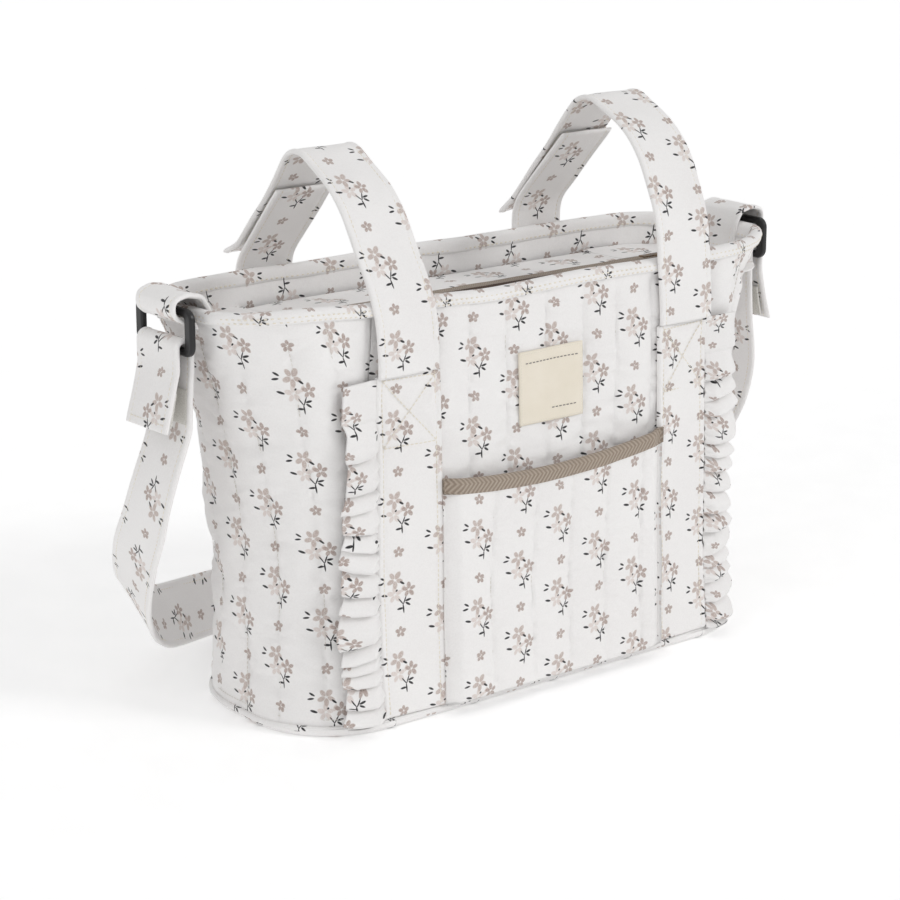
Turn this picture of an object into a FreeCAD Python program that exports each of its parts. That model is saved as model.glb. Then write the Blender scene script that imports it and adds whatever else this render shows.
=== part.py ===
"""Quilted diaper bag: an open-topped tote with a zipped mouth, a front slip pocket, two
hook-and-loop handles and a shoulder strap on two plastic rings.

Millimetres. +X runs along the front to the bag's own right-hand end as seen from the front,
the front faces -Y, and +Z is up. The origin is the middle of the base, on the ground.
"""
import FreeCAD, Part
import math
import os
import re
import Sketcher
from FreeCAD import Placement, Rotation, Vector

doc = FreeCAD.newDocument("DiaperBag")

DIMENSIONS = [
    # bag body: rounded rectangles at three heights
    ("base_height", 0.0, "height of the lowest outline"),
    ("base_half_width", 204.0, "half the bag's width at the base"),
    ("base_half_depth", 82.0, "half the bag's depth at the base"),
    ("base_front_corner", 62.0, "radius of the two front corners at the base"),
    ("base_rear_corner", 74.0, "radius of the two rear corners at the base"),
    ("waist_height", 150.0, "height of the middle outline"),
    ("waist_half_width", 210.0, "half the width at the middle"),
    ("waist_half_depth", 79.0, "half the depth at the middle"),
    ("waist_front_corner", 64.0, "radius of the two front corners at the middle"),
    ("waist_rear_corner", 72.0, "radius of the two rear corners at the middle"),
    ("rim_height", 280.0, "height of the bag's rim"),
    ("rim_half_width", 240.0, "half the width at the rim"),
    ("rim_half_depth", 76.0, "half the depth at the rim"),
    ("rim_front_corner", 48.0, "radius of the two front corners at the rim"),
    ("rim_rear_corner", 60.0, "radius of the two rear corners at the rim"),
    # layers, measured outwards from the bag's outer face
    ("wall_inside", -8.0, "inner face of the quilted wall"),
    ("lining_inside", -9.2, "inner face of the lining"),
    ("outer_face", 0.0, "outer face of the quilted wall"),
    ("label_outside", 1.0, "outer face of the label"),
    ("band_outside", 2.5, "outer face of the bands"),
    ("pocket_gap", 6.0, "inner face of the slip pocket"),
    ("pocket_outside", 8.5, "outer face of the slip pocket"),
    ("tape_outside", 9.5, "outer face of the pocket tape and of the ruffles"),
    ("bottom_thickness", 6.0, "quilted bottom"),
    ("board_top", 9.0, "top of the base board"),
    ("lining_floor", 10.2, "top of the lining's floor"),
    ("reach", 300.0, "half size of the blocks that select a region"),
    # seams and trims
    ("side_seam", 146.0, "half distance between the side seams"),
    ("piping_low", 2.5, "lower edge of the bottom piping"),
    ("piping_high", 8.0, "upper edge of the bottom piping"),
    ("hem_low", 272.0, "lower edge of the rim hem"),
    ("facing_low", 252.0, "lower edge of the printed facing"),
    ("band_inner", 97.0, "inner edge of each band"),
    ("band_outer", 145.0, "outer edge of each band"),
    ("band_top", 234.0, "top of each band, where the handle comes free"),
    ("ruffle_outer", 173.0, "outer edge of each ruffle"),
    ("pocket_top", 160.0, "top edge of the slip pocket"),
    ("pocket_hem", 5.0, "width of the pocket's closed sides"),
    ("pocket_floor", 14.0, "lowest point inside the slip pocket"),
    ("tape_low", 148.0, "lower edge of the pocket tape"),
    ("label_left", -26.0, "left edge of the label"),
    ("label_width", 55.0, "width of the label"),
    ("label_low", 184.5, "lower edge of the label"),
    ("label_size", 50.0, "height of the label"),
    # webbing
    ("strap_width", 46.0, "width of the handles and of the shoulder strap"),
    ("strap_thick", 2.6, "thickness of the handles and of the shoulder strap"),
    ("joint_gap", 0.3, "clearance where a moving strap starts"),
    ("patch_thick", 1.2, "thickness of each hook or loop patch"),
    ("patch_gap", 0.4, "gap between a hook patch and its loop patch"),
    ("patch_width", 38.0, "width of a patch across the strap"),
    ("patch_length", 30.0, "length of a patch along the strap"),
    ("handle_foot", 78.4, "distance of each handle's foot from the middle, front to back"),
    ("elbow_lean", 1.0, "how far a back strap leans outwards on its way up"),
    ("back_start", 42.0, "distance of a back strap's end from the arch's last turn"),
    ("patch_start", 48.0, "distance of the patches from the arch's last turn"),
    # rings
    ("ring_x", 249.0, "distance of each ring from the middle"),
    ("ring_y", 3.0, "middle of each ring, front to back"),
    ("ring_top", 281.5, "height of the ring's upper bar"),
    ("ring_pitch", 25.0, "distance between the two long bars"),
    ("ring_bar", 5.0, "height of each long bar"),
    ("ring_leg", 7.5, "width of each short leg"),
    ("ring_slot", 47.4, "length of the ring's opening"),
    ("ring_thick", 4.4, "thickness of the ring"),
    ("ring_corner", 7.0, "outer corner radius of the ring"),
    ("slot_corner", 2.2, "corner radius of the ring's opening"),
    ("ring_round", 1.5, "rounding of the ring's edges"),
    ("tab_width", 44.0, "width of each tab"),
    ("tab_thick", 2.2, "thickness of each tab"),
    ("tab_inset", 6.0, "how far inside the wall's outer face a tab is sewn"),
    ("tab_fold", 3.0, "centre-line radius where a tab turns down at the rim"),
    ("loop_radius", 4.7, "centre-line radius of a strap round a bar"),
    ("tail_drop", 50.0, "length of the folded-back strap end"),
    ("tail_bulge", 13.0, "how far the strap end stands outside its bar"),
    ("tail_knee", 12.0, "drop from the bar at which the folded end spreads"),
    ("tail_inward", 2.0, "how far the strand stands inside its bar at the folded end's height"),
    ("tail_bend", 20.0, "centre-line radius at the knee"),
    ("tail_patch_inset", 3.0, "distance of a strap patch from the folded end's edge"),
    ("tail_patch_length", 22.0, "length of a strap patch"),
    # zip
    ("zip_height", 258.0, "height of the zip"),
    ("zip_line", 8.0, "zip line, front to back"),
    ("zip_half", 152.0, "half length of the opening strips"),
    ("zip_end", 190.0, "outer end of each tape tail"),
    ("strip_edge", 65.5, "hinge line of each strip, front and back"),
    ("strip_thick", 1.6, "thickness of the strips"),
    ("zip_tape_thick", 0.8, "thickness of the zip tape"),
    ("zip_tape_reach", 13.5, "outer edge of the tape from the zip line"),
    ("coil_reach", 3.0, "outer edge of a coil from the zip line"),
    ("coil_gap", 0.4, "inner edge of a coil from the zip line"),
    ("coil_height", 2.4, "height of the coil"),
    ("slider_x", 182.0, "where the slider rests"),
    ("slider_length", 11.0, "length of the slider"),
    ("slider_width", 8.4, "width of the slider"),
    ("slider_plate", 1.0, "thickness of each slider plate"),
    ("slider_bore", 3.0, "gap between the slider plates"),
    ("slider_post", 0.4, "thickness of the slider's divider"),
    ("slider_post_length", 4.0, "length of the slider's divider"),
    ("bail_length", 5.2, "length of the slider's bail"),
    ("bail_height", 2.6, "height of the slider's bail"),
    ("bail_wire", 0.9, "thickness of the bail and of the pull's eye"),
    ("pull_length", 22.0, "length of the zip pull from its pivot"),
    ("pull_width", 6.0, "width of the zip pull"),
    ("eye_length", 4.4, "reach of the pull's eye from its pivot"),
    ("eye_width", 2.8, "width of the pull's eye"),
    ("tail_margin", 2.0, "tape left beyond the end of a tail's slot"),
]

sheet = doc.addObject("Spreadsheet::Sheet", "Sizes")
for row, (alias, value, meaning) in enumerate(DIMENSIONS, start=1):
    sheet.set(f"A{row}", alias)
    sheet.set(f"B{row}", str(value))
    sheet.set(f"C{row}", meaning)
    sheet.setAlias(f"B{row}", alias)
doc.recompute()

SUBPARTS = []


def size(alias):
    """A driving dimension's value."""
    return float(sheet.get(alias))


def bind(item, prop, formula):
    """Bind a property to a formula whose words are aliases of the sheet."""
    item.setExpression(prop, re.sub(r"[a-z_]+", r"Sizes.\g<0>", formula))


def subpart(item, label):
    """Mark a document object as a sub-part with its own label."""
    item.Label = label
    SUBPARTS.append(item)
    return item


def combined(kind, name, base, tool):
    """A boolean of two document objects."""
    item = doc.addObject("Part::" + kind, name)
    item.Base = base
    item.Tool = tool
    return item


def block(name, x_span, y_span, z_span):
    """A box between bound limits; each span is a pair of formulas."""
    item = doc.addObject("Part::Box", name)
    for axis, prop, (low, high) in zip("xyz", ("Length", "Width", "Height"), (x_span, y_span, z_span)):
        bind(item, prop, f"( {high} ) - ( {low} )")
        bind(item, f".Placement.Base.{axis}", low)
    return item


# ---- the bag's body ---------------------------------------------------------------------


def outline(level, layer):
    """One rounded rectangle of the bag, at a named height, grown by a layer's offset."""
    sketch = doc.addObject("Sketcher::SketchObject", f"Outline_{level}_{layer}")
    grow = size(layer)
    wide = size(level + "_half_width") + grow
    deep = size(level + "_half_depth") + grow
    front = size(level + "_front_corner") + grow
    rear = size(level + "_rear_corner") + grow
    front_x = wide - front
    rear_x = wide - rear
    front_y = front - deep
    rear_y = deep - rear
    runs = [((-front_x, -deep), (front_x, -deep)), ((wide, front_y), (wide, rear_y)),
            ((rear_x, deep), (-rear_x, deep)), ((-wide, rear_y), (-wide, front_y))]
    for start, end in runs:
        sketch.addGeometry(Part.LineSegment(Vector(*start, 0), Vector(*end, 0)))
    corners = [(front_x, front_y, front), (rear_x, rear_y, rear),
               (-rear_x, rear_y, rear), (-front_x, front_y, front)]
    for turn, (x, y, radius) in enumerate(corners):
        first = (turn - 1) * math.pi / 2
        circle = Part.Circle(Vector(x, y, 0), Vector(0, 0, 1), radius)
        sketch.addGeometry(Part.ArcOfCircle(circle, first, first + math.pi / 2))
    for side in range(4):
        arc = 4 + side
        sketch.addConstraint(Sketcher.Constraint("Tangent", side, 2, arc, 1))
        sketch.addConstraint(Sketcher.Constraint("Tangent", arc, 2, (side + 1) % 4, 1))
        sketch.addConstraint(Sketcher.Constraint("Horizontal" if side % 2 == 0 else "Vertical", side))
    sketch.addConstraint(Sketcher.Constraint("Equal", 4, 7))
    sketch.addConstraint(Sketcher.Constraint("Equal", 5, 6))
    for name, constraint, formula in (
            ("right", Sketcher.Constraint("DistanceX", -1, 1, 1, 1, wide), "_half_width"),
            ("left", Sketcher.Constraint("DistanceX", 3, 1, -1, 1, wide), "_half_width"),
            ("front", Sketcher.Constraint("DistanceY", 0, 1, -1, 1, deep), "_half_depth"),
            ("back", Sketcher.Constraint("DistanceY", -1, 1, 2, 1, deep), "_half_depth"),
            ("front_corner", Sketcher.Constraint("Radius", 4, front), "_front_corner"),
            ("rear_corner", Sketcher.Constraint("Radius", 5, rear), "_rear_corner")):
        index = sketch.addConstraint(constraint)
        sketch.renameConstraint(index, name)
        bind(sketch, "Constraints." + name, f"{level}{formula} + {layer}")
    bind(sketch, ".Placement.Base.z", level + "_height")
    return sketch


def body_form(layer):
    """The bag's whole outer form, grown by a layer's offset, as one smooth loft."""
    form = doc.addObject("Part::Loft", "Form_" + layer)
    form.Sections = [outline(level, layer) for level in ("base", "waist", "rim")]
    form.Solid = True
    return form


LAYERS = ("lining_inside", "wall_inside", "outer_face", "label_outside", "band_outside",
          "pocket_gap", "pocket_outside", "tape_outside")
FORM = {layer: body_form(layer) for layer in LAYERS}

FRONT = ("-reach", "0")
BACK = ("0", "reach")
FULL_DEPTH = ("-reach", "reach")


def skin(label, outside, inside, x_span, y_span, z_span):
    """A piece of cloth between two layers, within a block."""
    region = block("Region_" + label, x_span, y_span, z_span)
    whole = combined("Common", "Whole_" + label, FORM[outside], region)
    return combined("Cut", "Piece_" + label, whole, FORM[inside])


def cloth(label, outside, inside, x_span, y_span, z_span):
    """A piece of cloth between two layers that is a sub-part."""
    return subpart(skin(label, outside, inside, x_span, y_span, z_span), label)


def walls():
    """The quilted walls, the bottom, and the folded hem that joins them at the rim."""
    height = ("bottom_thickness", "hem_low")
    middle = ("-side_seam", "side_seam")
    cloth("front_panel", "outer_face", "wall_inside", middle, FRONT, height)
    cloth("back_panel", "outer_face", "wall_inside", middle, BACK, height)
    cloth("left_side_panel", "outer_face", "wall_inside", ("-reach", "-side_seam"), FULL_DEPTH, height)
    cloth("right_side_panel", "outer_face", "wall_inside", ("side_seam", "reach"), FULL_DEPTH, height)
    cloth("rim_hem", "outer_face", "lining_inside", FULL_DEPTH, FULL_DEPTH, ("hem_low", "rim_height"))
    region = block("Region_bottom", FULL_DEPTH, FULL_DEPTH, ("0", "bottom_thickness"))
    subpart(combined("Common", "Piece_bottom", FORM["outer_face"], region), "bottom_panel")
    cloth("bottom_piping", "band_outside", "outer_face", FULL_DEPTH, FULL_DEPTH, ("piping_low", "piping_high"))


def inside_pieces():
    """The base board, the lining and the printed facing."""
    region = block("Region_board", FULL_DEPTH, FULL_DEPTH, ("bottom_thickness", "board_top"))
    subpart(combined("Common", "Piece_board", FORM["wall_inside"], region), "base_board")
    region = block("Region_lining", FULL_DEPTH, FULL_DEPTH, ("board_top", "facing_low"))
    hollow = block("Region_lining_hollow", FULL_DEPTH, FULL_DEPTH, ("lining_floor", "facing_low"))
    whole = combined("Common", "Whole_lining", FORM["wall_inside"], region)
    space = combined("Common", "Space_lining", FORM["lining_inside"], hollow)
    subpart(combined("Cut", "Piece_lining", whole, space), "lining")
    cloth("rim_facing", "wall_inside", "lining_inside", FULL_DEPTH, FULL_DEPTH, ("facing_low", "hem_low"))


def front_details():
    """The slip pocket with its tape, and the label."""
    across = ("-band_inner", "band_inner")
    closed = skin("pocket", "pocket_outside", "outer_face", across, FRONT, ("piping_high", "pocket_top"))
    mouth = block("Region_pocket_gap", ("pocket_hem - band_inner", "band_inner - pocket_hem"), FRONT,
                  ("pocket_floor", "rim_height"))
    gap = combined("Common", "Space_pocket", FORM["pocket_gap"], mouth)
    subpart(combined("Cut", "Piece_pocket_open", closed, gap), "pocket_panel")
    cloth("pocket_tape", "tape_outside", "pocket_outside", across, FRONT, ("tape_low", "pocket_top"))
    cloth("label", "label_outside", "outer_face", ("label_left", "label_left + label_width"), FRONT,
          ("label_low", "label_low + label_size"))


def side_spans(side):
    """Bound x spans of the band and the ruffle on one side: -1 left, 1 right."""
    if side < 0:
        return ("-band_outer", "-band_inner"), ("-ruffle_outer", "-band_outer")
    return ("band_inner", "band_outer"), ("band_outer", "ruffle_outer")


def bands_and_ruffles(side, hand):
    """One front band, one back band and one gathered ruffle."""
    band, ruffle = side_spans(side)
    height = ("piping_high", "band_top")
    cloth("front_band_" + hand, "band_outside", "outer_face", band, FRONT, height)
    cloth("back_band_" + hand, "band_outside", "outer_face", band, BACK, height)
    cloth("ruffle_" + hand, "tape_outside", "outer_face", ruffle, FRONT, height)


# ---- straps: a rounded path, thickened and drawn out to the strap's width ---------------

SIDEWAYS = Rotation(Vector(1, 1, 1), 120)    # sketch x to +Y, sketch y to +Z
LENGTHWAYS = Rotation(Vector(1, 0, 0), 90)   # sketch x to +X, sketch y to +Z


def rounded_path(points, radii):
    """Edges along the points, with each inner corner turned on an arc of its own radius."""
    edges = []
    at = points[0]
    for before, corner, after, radius in zip(points, points[1:], points[2:], radii):
        arriving = (corner - before).normalize()
        leaving = (after - corner).normalize()
        turn = arriving.getAngle(leaving)
        cut = radius * math.tan(turn / 2)
        start = corner - arriving * cut
        end = corner + leaving * cut
        inward = (leaving - arriving).normalize()
        middle = corner + inward * (radius / math.cos(turn / 2) - radius)
        if (start - at).Length > 1e-6:
            edges.append(Part.LineSegment(at, start))
        edges.append(Part.Arc(start, middle, end))
        at = end
    edges.append(Part.LineSegment(at, points[-1]))
    return edges


def moved_sideways(points, radii, distance):
    """The same corners and radii for a line that runs beside the path, right of it if positive."""
    rights = []
    for first, second in zip(points, points[1:]):
        along = (second - first).normalize()
        rights.append(Vector(along.y, -along.x, 0))
    moved = [points[0] + rights[0] * distance]
    turned = []
    for corner, radius, first, second in zip(points[1:-1], radii, rights, rights[1:]):
        sharing = (first + second).normalize()
        moved.append(corner + sharing * (distance / sharing.dot(first)))
        turned.append(radius + math.copysign(distance, distance * first.cross(second).z))
    moved.append(points[-1] + rights[-1] * distance)
    return moved, turned


def strip(name, corners, radii, thickness, width, rotation):
    """A flat strip of cloth whose middle line follows a rounded path."""
    points = [Vector(x, y, 0) for x, y in corners]
    half = size(thickness) / 2
    right, right_radii = moved_sideways(points, radii, half)
    left, left_radii = moved_sideways(points, radii, -half)
    sketch = doc.addObject("Sketcher::SketchObject", "Edge_" + name)
    sketch.addGeometry(rounded_path(right, right_radii))
    sketch.addGeometry(rounded_path(left, left_radii))
    sketch.addGeometry([Part.LineSegment(right[0], left[0]), Part.LineSegment(right[-1], left[-1])])
    sketch.Placement = Placement(Vector(), rotation)
    piece = doc.addObject("Part::Extrusion", "Strip_" + name)
    piece.Base = sketch
    piece.DirMode = "Custom"
    piece.Dir = rotation.multVec(Vector(0, 0, 1))
    piece.Solid = True
    piece.Symmetric = True
    bind(piece, "LengthFwd", width)
    return piece


ARCH_CORNERS = {
    # (y, z) corners of each front handle's middle line, from over its foot to its end
    "left": [(-81.0, 283.0), (-44.0, 345.0), (6.0, 374.0), (74.0, 298.0), (91.0, 290.0)],
    "right": [(-79.0, 308.0), (-54.0, 362.0), (0.0, 388.0), (82.0, 301.0), (94.0, 291.0)],
}
ARCH_RADII = [70.0, 75.0, 22.0, 18.0]
BACK_RADII = [28.0]


def rear_run(hand):
    """Start point and direction of a front handle's straight rear run."""
    start = Vector(*ARCH_CORNERS[hand][2], 0)
    end = Vector(*ARCH_CORNERS[hand][3], 0)
    return start, (end - start).normalize()


def patch(label, hand, lift, x_middle):
    """A flat patch parallel to the rear run, lifted off its middle line."""
    start, run = rear_run(hand)
    outward = Vector(-run.y, run.x, 0)
    corner = start + run * size("patch_start") + outward * lift
    item = doc.addObject("Part::Box", "Patch_" + label)
    bind(item, "Length", "patch_width")
    bind(item, "Width", "patch_length")
    bind(item, "Height", "patch_thick")
    tilt = Rotation(Vector(1, 0, 0), math.degrees(math.atan2(run.y, run.x)))
    item.Placement = Placement(Vector(x_middle - size("patch_width") / 2, corner.x, corner.y), tilt)
    return subpart(item, label)


def handle(side, hand):
    """One handle: a long front strap and the short back strap that it fastens to."""
    middle = side * (size("band_inner") + size("band_outer")) / 2
    foot_y = size("handle_foot")
    foot_z = size("band_top") + size("joint_gap")
    front = strip("front_" + hand, [(-foot_y, foot_z)] + ARCH_CORNERS[hand], ARCH_RADII,
                  "strap_thick", "strap_width", SIDEWAYS)
    front.Placement.Base.x = middle
    subpart(front, "handle_front_" + hand)

    start, run = rear_run(hand)
    outward = Vector(-run.y, run.x, 0)
    spacing = size("strap_thick") + 2 * size("patch_thick") + size("patch_gap")
    line = start - outward * spacing
    elbow = line + run * ((foot_y + size("elbow_lean") - line.x) / run.x)
    top = line + run * size("back_start")
    back = strip("back_" + hand, [(foot_y, foot_z), (elbow.x, elbow.y), (top.x, top.y)], BACK_RADII,
                 "strap_thick", "strap_width", SIDEWAYS)
    back.Placement.Base.x = middle
    subpart(back, "handle_back_" + hand)

    half = size("strap_thick") / 2
    patch("handle_hook_" + hand, hand, -half - size("patch_thick"), middle)
    patch("handle_loop_" + hand, hand, half - spacing, middle)


# ---- tabs, rings and shoulder strap -----------------------------------------------------


def tab(side, hand):
    """A folded tab round the ring's upper bar, sewn to the side wall and to the rim."""
    x = side * size("ring_x")
    z = size("ring_top")
    round_bar = size("loop_radius")
    inner_x = side * (size("rim_half_width") - size("tab_inset"))
    points = [(inner_x, z - round_bar), (x + side * round_bar, z - round_bar),
              (x + side * round_bar, z + round_bar), (inner_x, z + round_bar), (inner_x, size("rim_height"))]
    radii = [round_bar, round_bar, size("tab_fold")]
    folded = strip("tab_" + hand, points, radii, "tab_thick", "tab_width", LENGTHWAYS)
    folded.Placement.Base.y = size("ring_y")
    subpart(combined("Cut", "Piece_tab_" + hand, folded, FORM["outer_face"]), "tab_" + hand)


def filleted(name, base, radii):
    """The base with each of its edges rounded to the radius given for it, if any."""
    item = doc.addObject("Part::Fillet", name)
    item.Base = base
    item.Edges = [(index, radius, radius) for index, radius in enumerate(radii, start=1) if radius]
    return item


def ring(side, hand):
    """A flat rectangular plastic loop with rounded edges."""
    plate = doc.addObject("Part::Box", "Plate_ring_" + hand)
    slot = doc.addObject("Part::Box", "Slot_ring_" + hand)
    bind(plate, "Length", "ring_thick")
    bind(plate, "Width", "ring_slot + 2 * ring_leg")
    bind(plate, "Height", "ring_pitch + ring_bar")
    bind(plate, ".Placement.Base.x", f"{side} * ring_x - ring_thick / 2")
    bind(plate, ".Placement.Base.y", "ring_y - ring_slot / 2 - ring_leg")
    bind(plate, ".Placement.Base.z", "ring_top - ring_pitch - ring_bar / 2")
    bind(slot, "Length", "ring_thick + 2")
    bind(slot, "Width", "ring_slot")
    bind(slot, "Height", "ring_pitch - ring_bar")
    bind(slot, ".Placement.Base.x", f"{side} * ring_x - ring_thick / 2 - 1")
    bind(slot, ".Placement.Base.y", "ring_y - ring_slot / 2")
    bind(slot, ".Placement.Base.z", "ring_top - ring_pitch + ring_bar / 2")
    loop = combined("Cut", "Loop_ring_" + hand, plate, slot)
    doc.recompute()
    radii = []
    for edge in loop.Shape.Edges:
        middle = edge.CenterOfMass
        across = abs(middle.x - side * size("ring_x")) < 0.01
        outside = abs(middle.y - size("ring_y")) > size("ring_slot") / 2 + 1
        radii.append(size("ring_corner" if outside else "slot_corner") if across else 0)
    turned = filleted("Corners_ring_" + hand, loop, radii)
    doc.recompute()
    subpart(filleted("Round_ring_" + hand, turned, [size("ring_round")] * len(turned.Shape.Edges)), "ring_" + hand)


STRAND = [
    # (x, y, z) of the shoulder strap's middle line from the left ring to behind the bag
    (-250.5, 11.0, 176.0), (-251.5, 26.0, 140.0), (-246.0, 48.0, 101.0), (-228.0, 78.0, 64.0),
    (-192.0, 114.0, 36.5), (-142.0, 140.0, 26.0), (-72.0, 154.0, 23.8), (0.0, 158.0, 23.5),
]
STRAND_STATIONS = 25


def strap_end_points(side):
    """(x, z) corners of a strap end: its tail, round the ring's lower bar, and down again."""
    x = side * size("ring_x")
    z = size("ring_top") - size("ring_pitch")
    r = size("loop_radius")
    drop = size("tail_drop")
    knee = size("tail_knee")
    return [(x + side * size("tail_bulge"), z - drop), (x + side * r, z - knee), (x + side * r, z + r),
            (x - side * r, z + r), (x - side * r, z - knee), (x - side * size("tail_inward"), z - drop)]


def strap_section(middle, along, across):
    """One rectangular section of the shoulder strap."""
    across = (across - along * across.dot(along)).normalize()
    through = along.cross(across).normalize()
    wide = across * (size("strap_width") / 2)
    thick = through * (size("strap_thick") / 2)
    corners = [middle - wide - thick, middle + wide - thick, middle + wide + thick, middle - wide + thick]
    return Part.makePolygon(corners + corners[:1])


def strand_lean(height, top):
    """Direction of the strap's width: across the bag's end at the top, upright on the ground."""
    ground = STRAND[-1][2]
    fallen = min(1.0, max(0.0, (top - height) / (top - ground)))
    lean = math.pi / 2 * (1 - math.sqrt(1 - fallen * fallen))
    return Vector(0, math.cos(lean), math.sin(lean))


def half_strand():
    """The left half of the strap's free strand, from its folded end to behind the bag."""
    above, end = [Vector(x, size("ring_y"), z) for x, z in strap_end_points(-1)[-2:]]
    line = Part.BSplineCurve()
    line.interpolate(Points=[end] + [Vector(*point) for point in STRAND],
                     InitialTangent=(end - above).normalize(), FinalTangent=Vector(1, 0, 0), Scale=True)
    sections = []
    for point in line.discretize(Number=STRAND_STATIONS):
        along = Vector(*line.tangent(line.parameter(point))[0])
        sections.append(strap_section(point, along, strand_lean(point.z, end.z)))
    return Part.makeLoft(sections, True, False)


def shoulder_strap():
    """The strap: its folded left end, half its strand, and the mirror image of both."""
    strand = doc.addObject("Part::Feature", "Half_strand")
    strand.Shape = half_strand()
    radii = [size(alias) for alias in ("tail_bend", "loop_radius", "loop_radius", "tail_bend")]
    end = strip("strap_end", strap_end_points(-1), radii, "strap_thick", "strap_width", LENGTHWAYS)
    end.Placement.Base.y = size("ring_y")
    half = combined("Fuse", "Half_strap", strand, end)
    other = doc.addObject("Part::Mirroring", "Other_half_strap")
    other.Source = half
    other.Normal = Vector(1, 0, 0)
    subpart(combined("Fuse", "Strap", half, other), "shoulder_strap")


def tail_patch(label, low, high, facing):
    """A flat patch on one leg of a folded strap end, from near the end's edge upwards."""
    run = Vector(high[0] - low[0], 0, high[1] - low[1]).normalize()
    face = Vector(run.z, 0, -run.x) * facing
    lift = size("strap_thick") / 2
    if face.x < 0:
        lift += size("patch_thick")
    edge = Vector(low[0], size("ring_y") - size("patch_width") / 2, low[1])
    item = doc.addObject("Part::Box", "Patch_" + label)
    bind(item, "Length", "patch_thick")
    bind(item, "Width", "patch_width")
    bind(item, "Height", "tail_patch_length")
    turn = Rotation(Vector(0, 1, 0), math.degrees(math.atan2(run.x, run.z)))
    item.Placement = Placement(edge + run * size("tail_patch_inset") + face * lift, turn)
    subpart(item, label)


def tail_patches(side, hand):
    """The hook patch inside the folded end and the loop patch on the strand facing it."""
    points = strap_end_points(side)
    tail_patch("strap_hook_" + hand, points[0], points[1], -side)
    tail_patch("strap_loop_" + hand, points[5], points[4], side)


# ---- zip --------------------------------------------------------------------------------


def centred(height):
    """Bound z span centred on the zip's height."""
    return (f"zip_height - {height} / 2", f"zip_height + {height} / 2")


def zip_half(front):
    """One opening strip with its tape and coil."""
    word = "front" if front else "back"
    length = ("-zip_half", "zip_half")

    def span(near, far):
        if front:
            return f"zip_line - {far}", f"zip_line - {near}"
        return f"zip_line + {near}", f"zip_line + {far}"

    cloth_span = ("-strip_edge", "zip_line - zip_tape_reach")
    if not front:
        cloth_span = ("zip_line + zip_tape_reach", "strip_edge")
    subpart(block("Strip_zip_" + word, length, cloth_span, centred("strip_thick")), "zip_strip_" + word)
    subpart(block("Tape_zip_" + word, length, span("coil_reach", "zip_tape_reach"), centred("zip_tape_thick")),
            "zip_tape_" + word)
    subpart(block("Coil_zip_" + word, length, span("coil_gap", "coil_reach"), centred("coil_height")),
            "zip_coil_" + word)


def zip_end(side, hand):
    """The fixed cloth beyond the opening, and the tape tail that the slider parks on."""
    near = "zip_half + joint_gap"
    outer = ("-reach", f"-( {near} )") if side < 0 else (near, "reach")
    tail = ("-zip_end", f"-( {near} )") if side < 0 else (near, "zip_end")
    reach = ("zip_line - zip_tape_reach", "zip_line + zip_tape_reach")
    region = block("Region_zip_end_" + hand, outer, ("-strip_edge", "strip_edge"), centred("strip_thick"))
    whole = combined("Common", "Whole_zip_end_" + hand, FORM["lining_inside"], region)
    notch = block("Notch_zip_end_" + hand, tail, reach, centred("( 2 * strip_thick )"))
    subpart(combined("Cut", "Piece_zip_end_" + hand, whole, notch), "zip_end_" + hand)
    tape = block("Tail_zip_" + hand, tail, reach, centred("zip_tape_thick"))
    slot_x = ("tail_margin - zip_end", "0") if side < 0 else ("0", "zip_end - tail_margin")
    slot_y = ("zip_line - coil_reach", "zip_line + coil_reach")
    slot = block("Slot_zip_" + hand, slot_x, slot_y, centred("coil_height"))
    subpart(combined("Cut", "Piece_zip_tail_" + hand, tape, slot), "zip_tail_" + hand)


def zip_slider():
    """Two plates joined by a thin divider, with a bail on top."""
    length = ("slider_x - slider_length / 2", "slider_x + slider_length / 2")
    width = ("zip_line - slider_width / 2", "zip_line + slider_width / 2")
    body = block("Slider_body", length, width, centred("( slider_bore + 2 * slider_plate )"))
    bore = block("Slider_bore", ("slider_x - slider_length", "slider_x + slider_length"),
                 ("zip_line - slider_width", "zip_line + slider_width"), centred("slider_bore"))
    plates = combined("Cut", "Slider_plates", body, bore)
    post = block("Slider_post", ("slider_x", "slider_x + slider_post_length"),
                 ("zip_line - slider_post / 2", "zip_line + slider_post / 2"), centred("slider_bore"))
    top = "zip_height + slider_bore / 2 + slider_plate"
    bail_x = ("slider_x - bail_length / 2", "slider_x + bail_length / 2")
    bail_y = ("zip_line - bail_wire / 2", "zip_line + bail_wire / 2")
    bail = block("Slider_bail", bail_x, bail_y, (top, top + " + bail_height"))
    window_x = ("slider_x - bail_length / 2 + bail_wire", "slider_x + bail_length / 2 - bail_wire")
    window_y = ("zip_line - slider_width", "zip_line + slider_width")
    window = block("Slider_window", window_x, window_y, (top, top + " + bail_height - bail_wire"))
    arch = combined("Cut", "Slider_arch", bail, window)
    whole = doc.addObject("Part::MultiFuse", "Slider")
    whole.Shapes = [plates, post, arch]
    subpart(whole, "zip_slider")


def zip_pull():
    """A flat pull whose eye passes under the slider's bail."""
    middle = "zip_height + slider_bore / 2 + slider_plate + bail_wire"
    across = ("zip_line - pull_width / 2", "zip_line + pull_width / 2")
    plate = block("Pull_plate", ("slider_x - pull_length", "slider_x + bail_wire / 2"), across,
                  (middle + " - bail_wire / 2", middle + " + bail_wire / 2"))
    eye = block("Pull_eye", ("slider_x - eye_length", "slider_x - bail_wire / 2"),
                ("zip_line - eye_width / 2", "zip_line + eye_width / 2"), ("zip_height", "rim_height"))
    subpart(combined("Cut", "Pull", plate, eye), "zip_pull")


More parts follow.
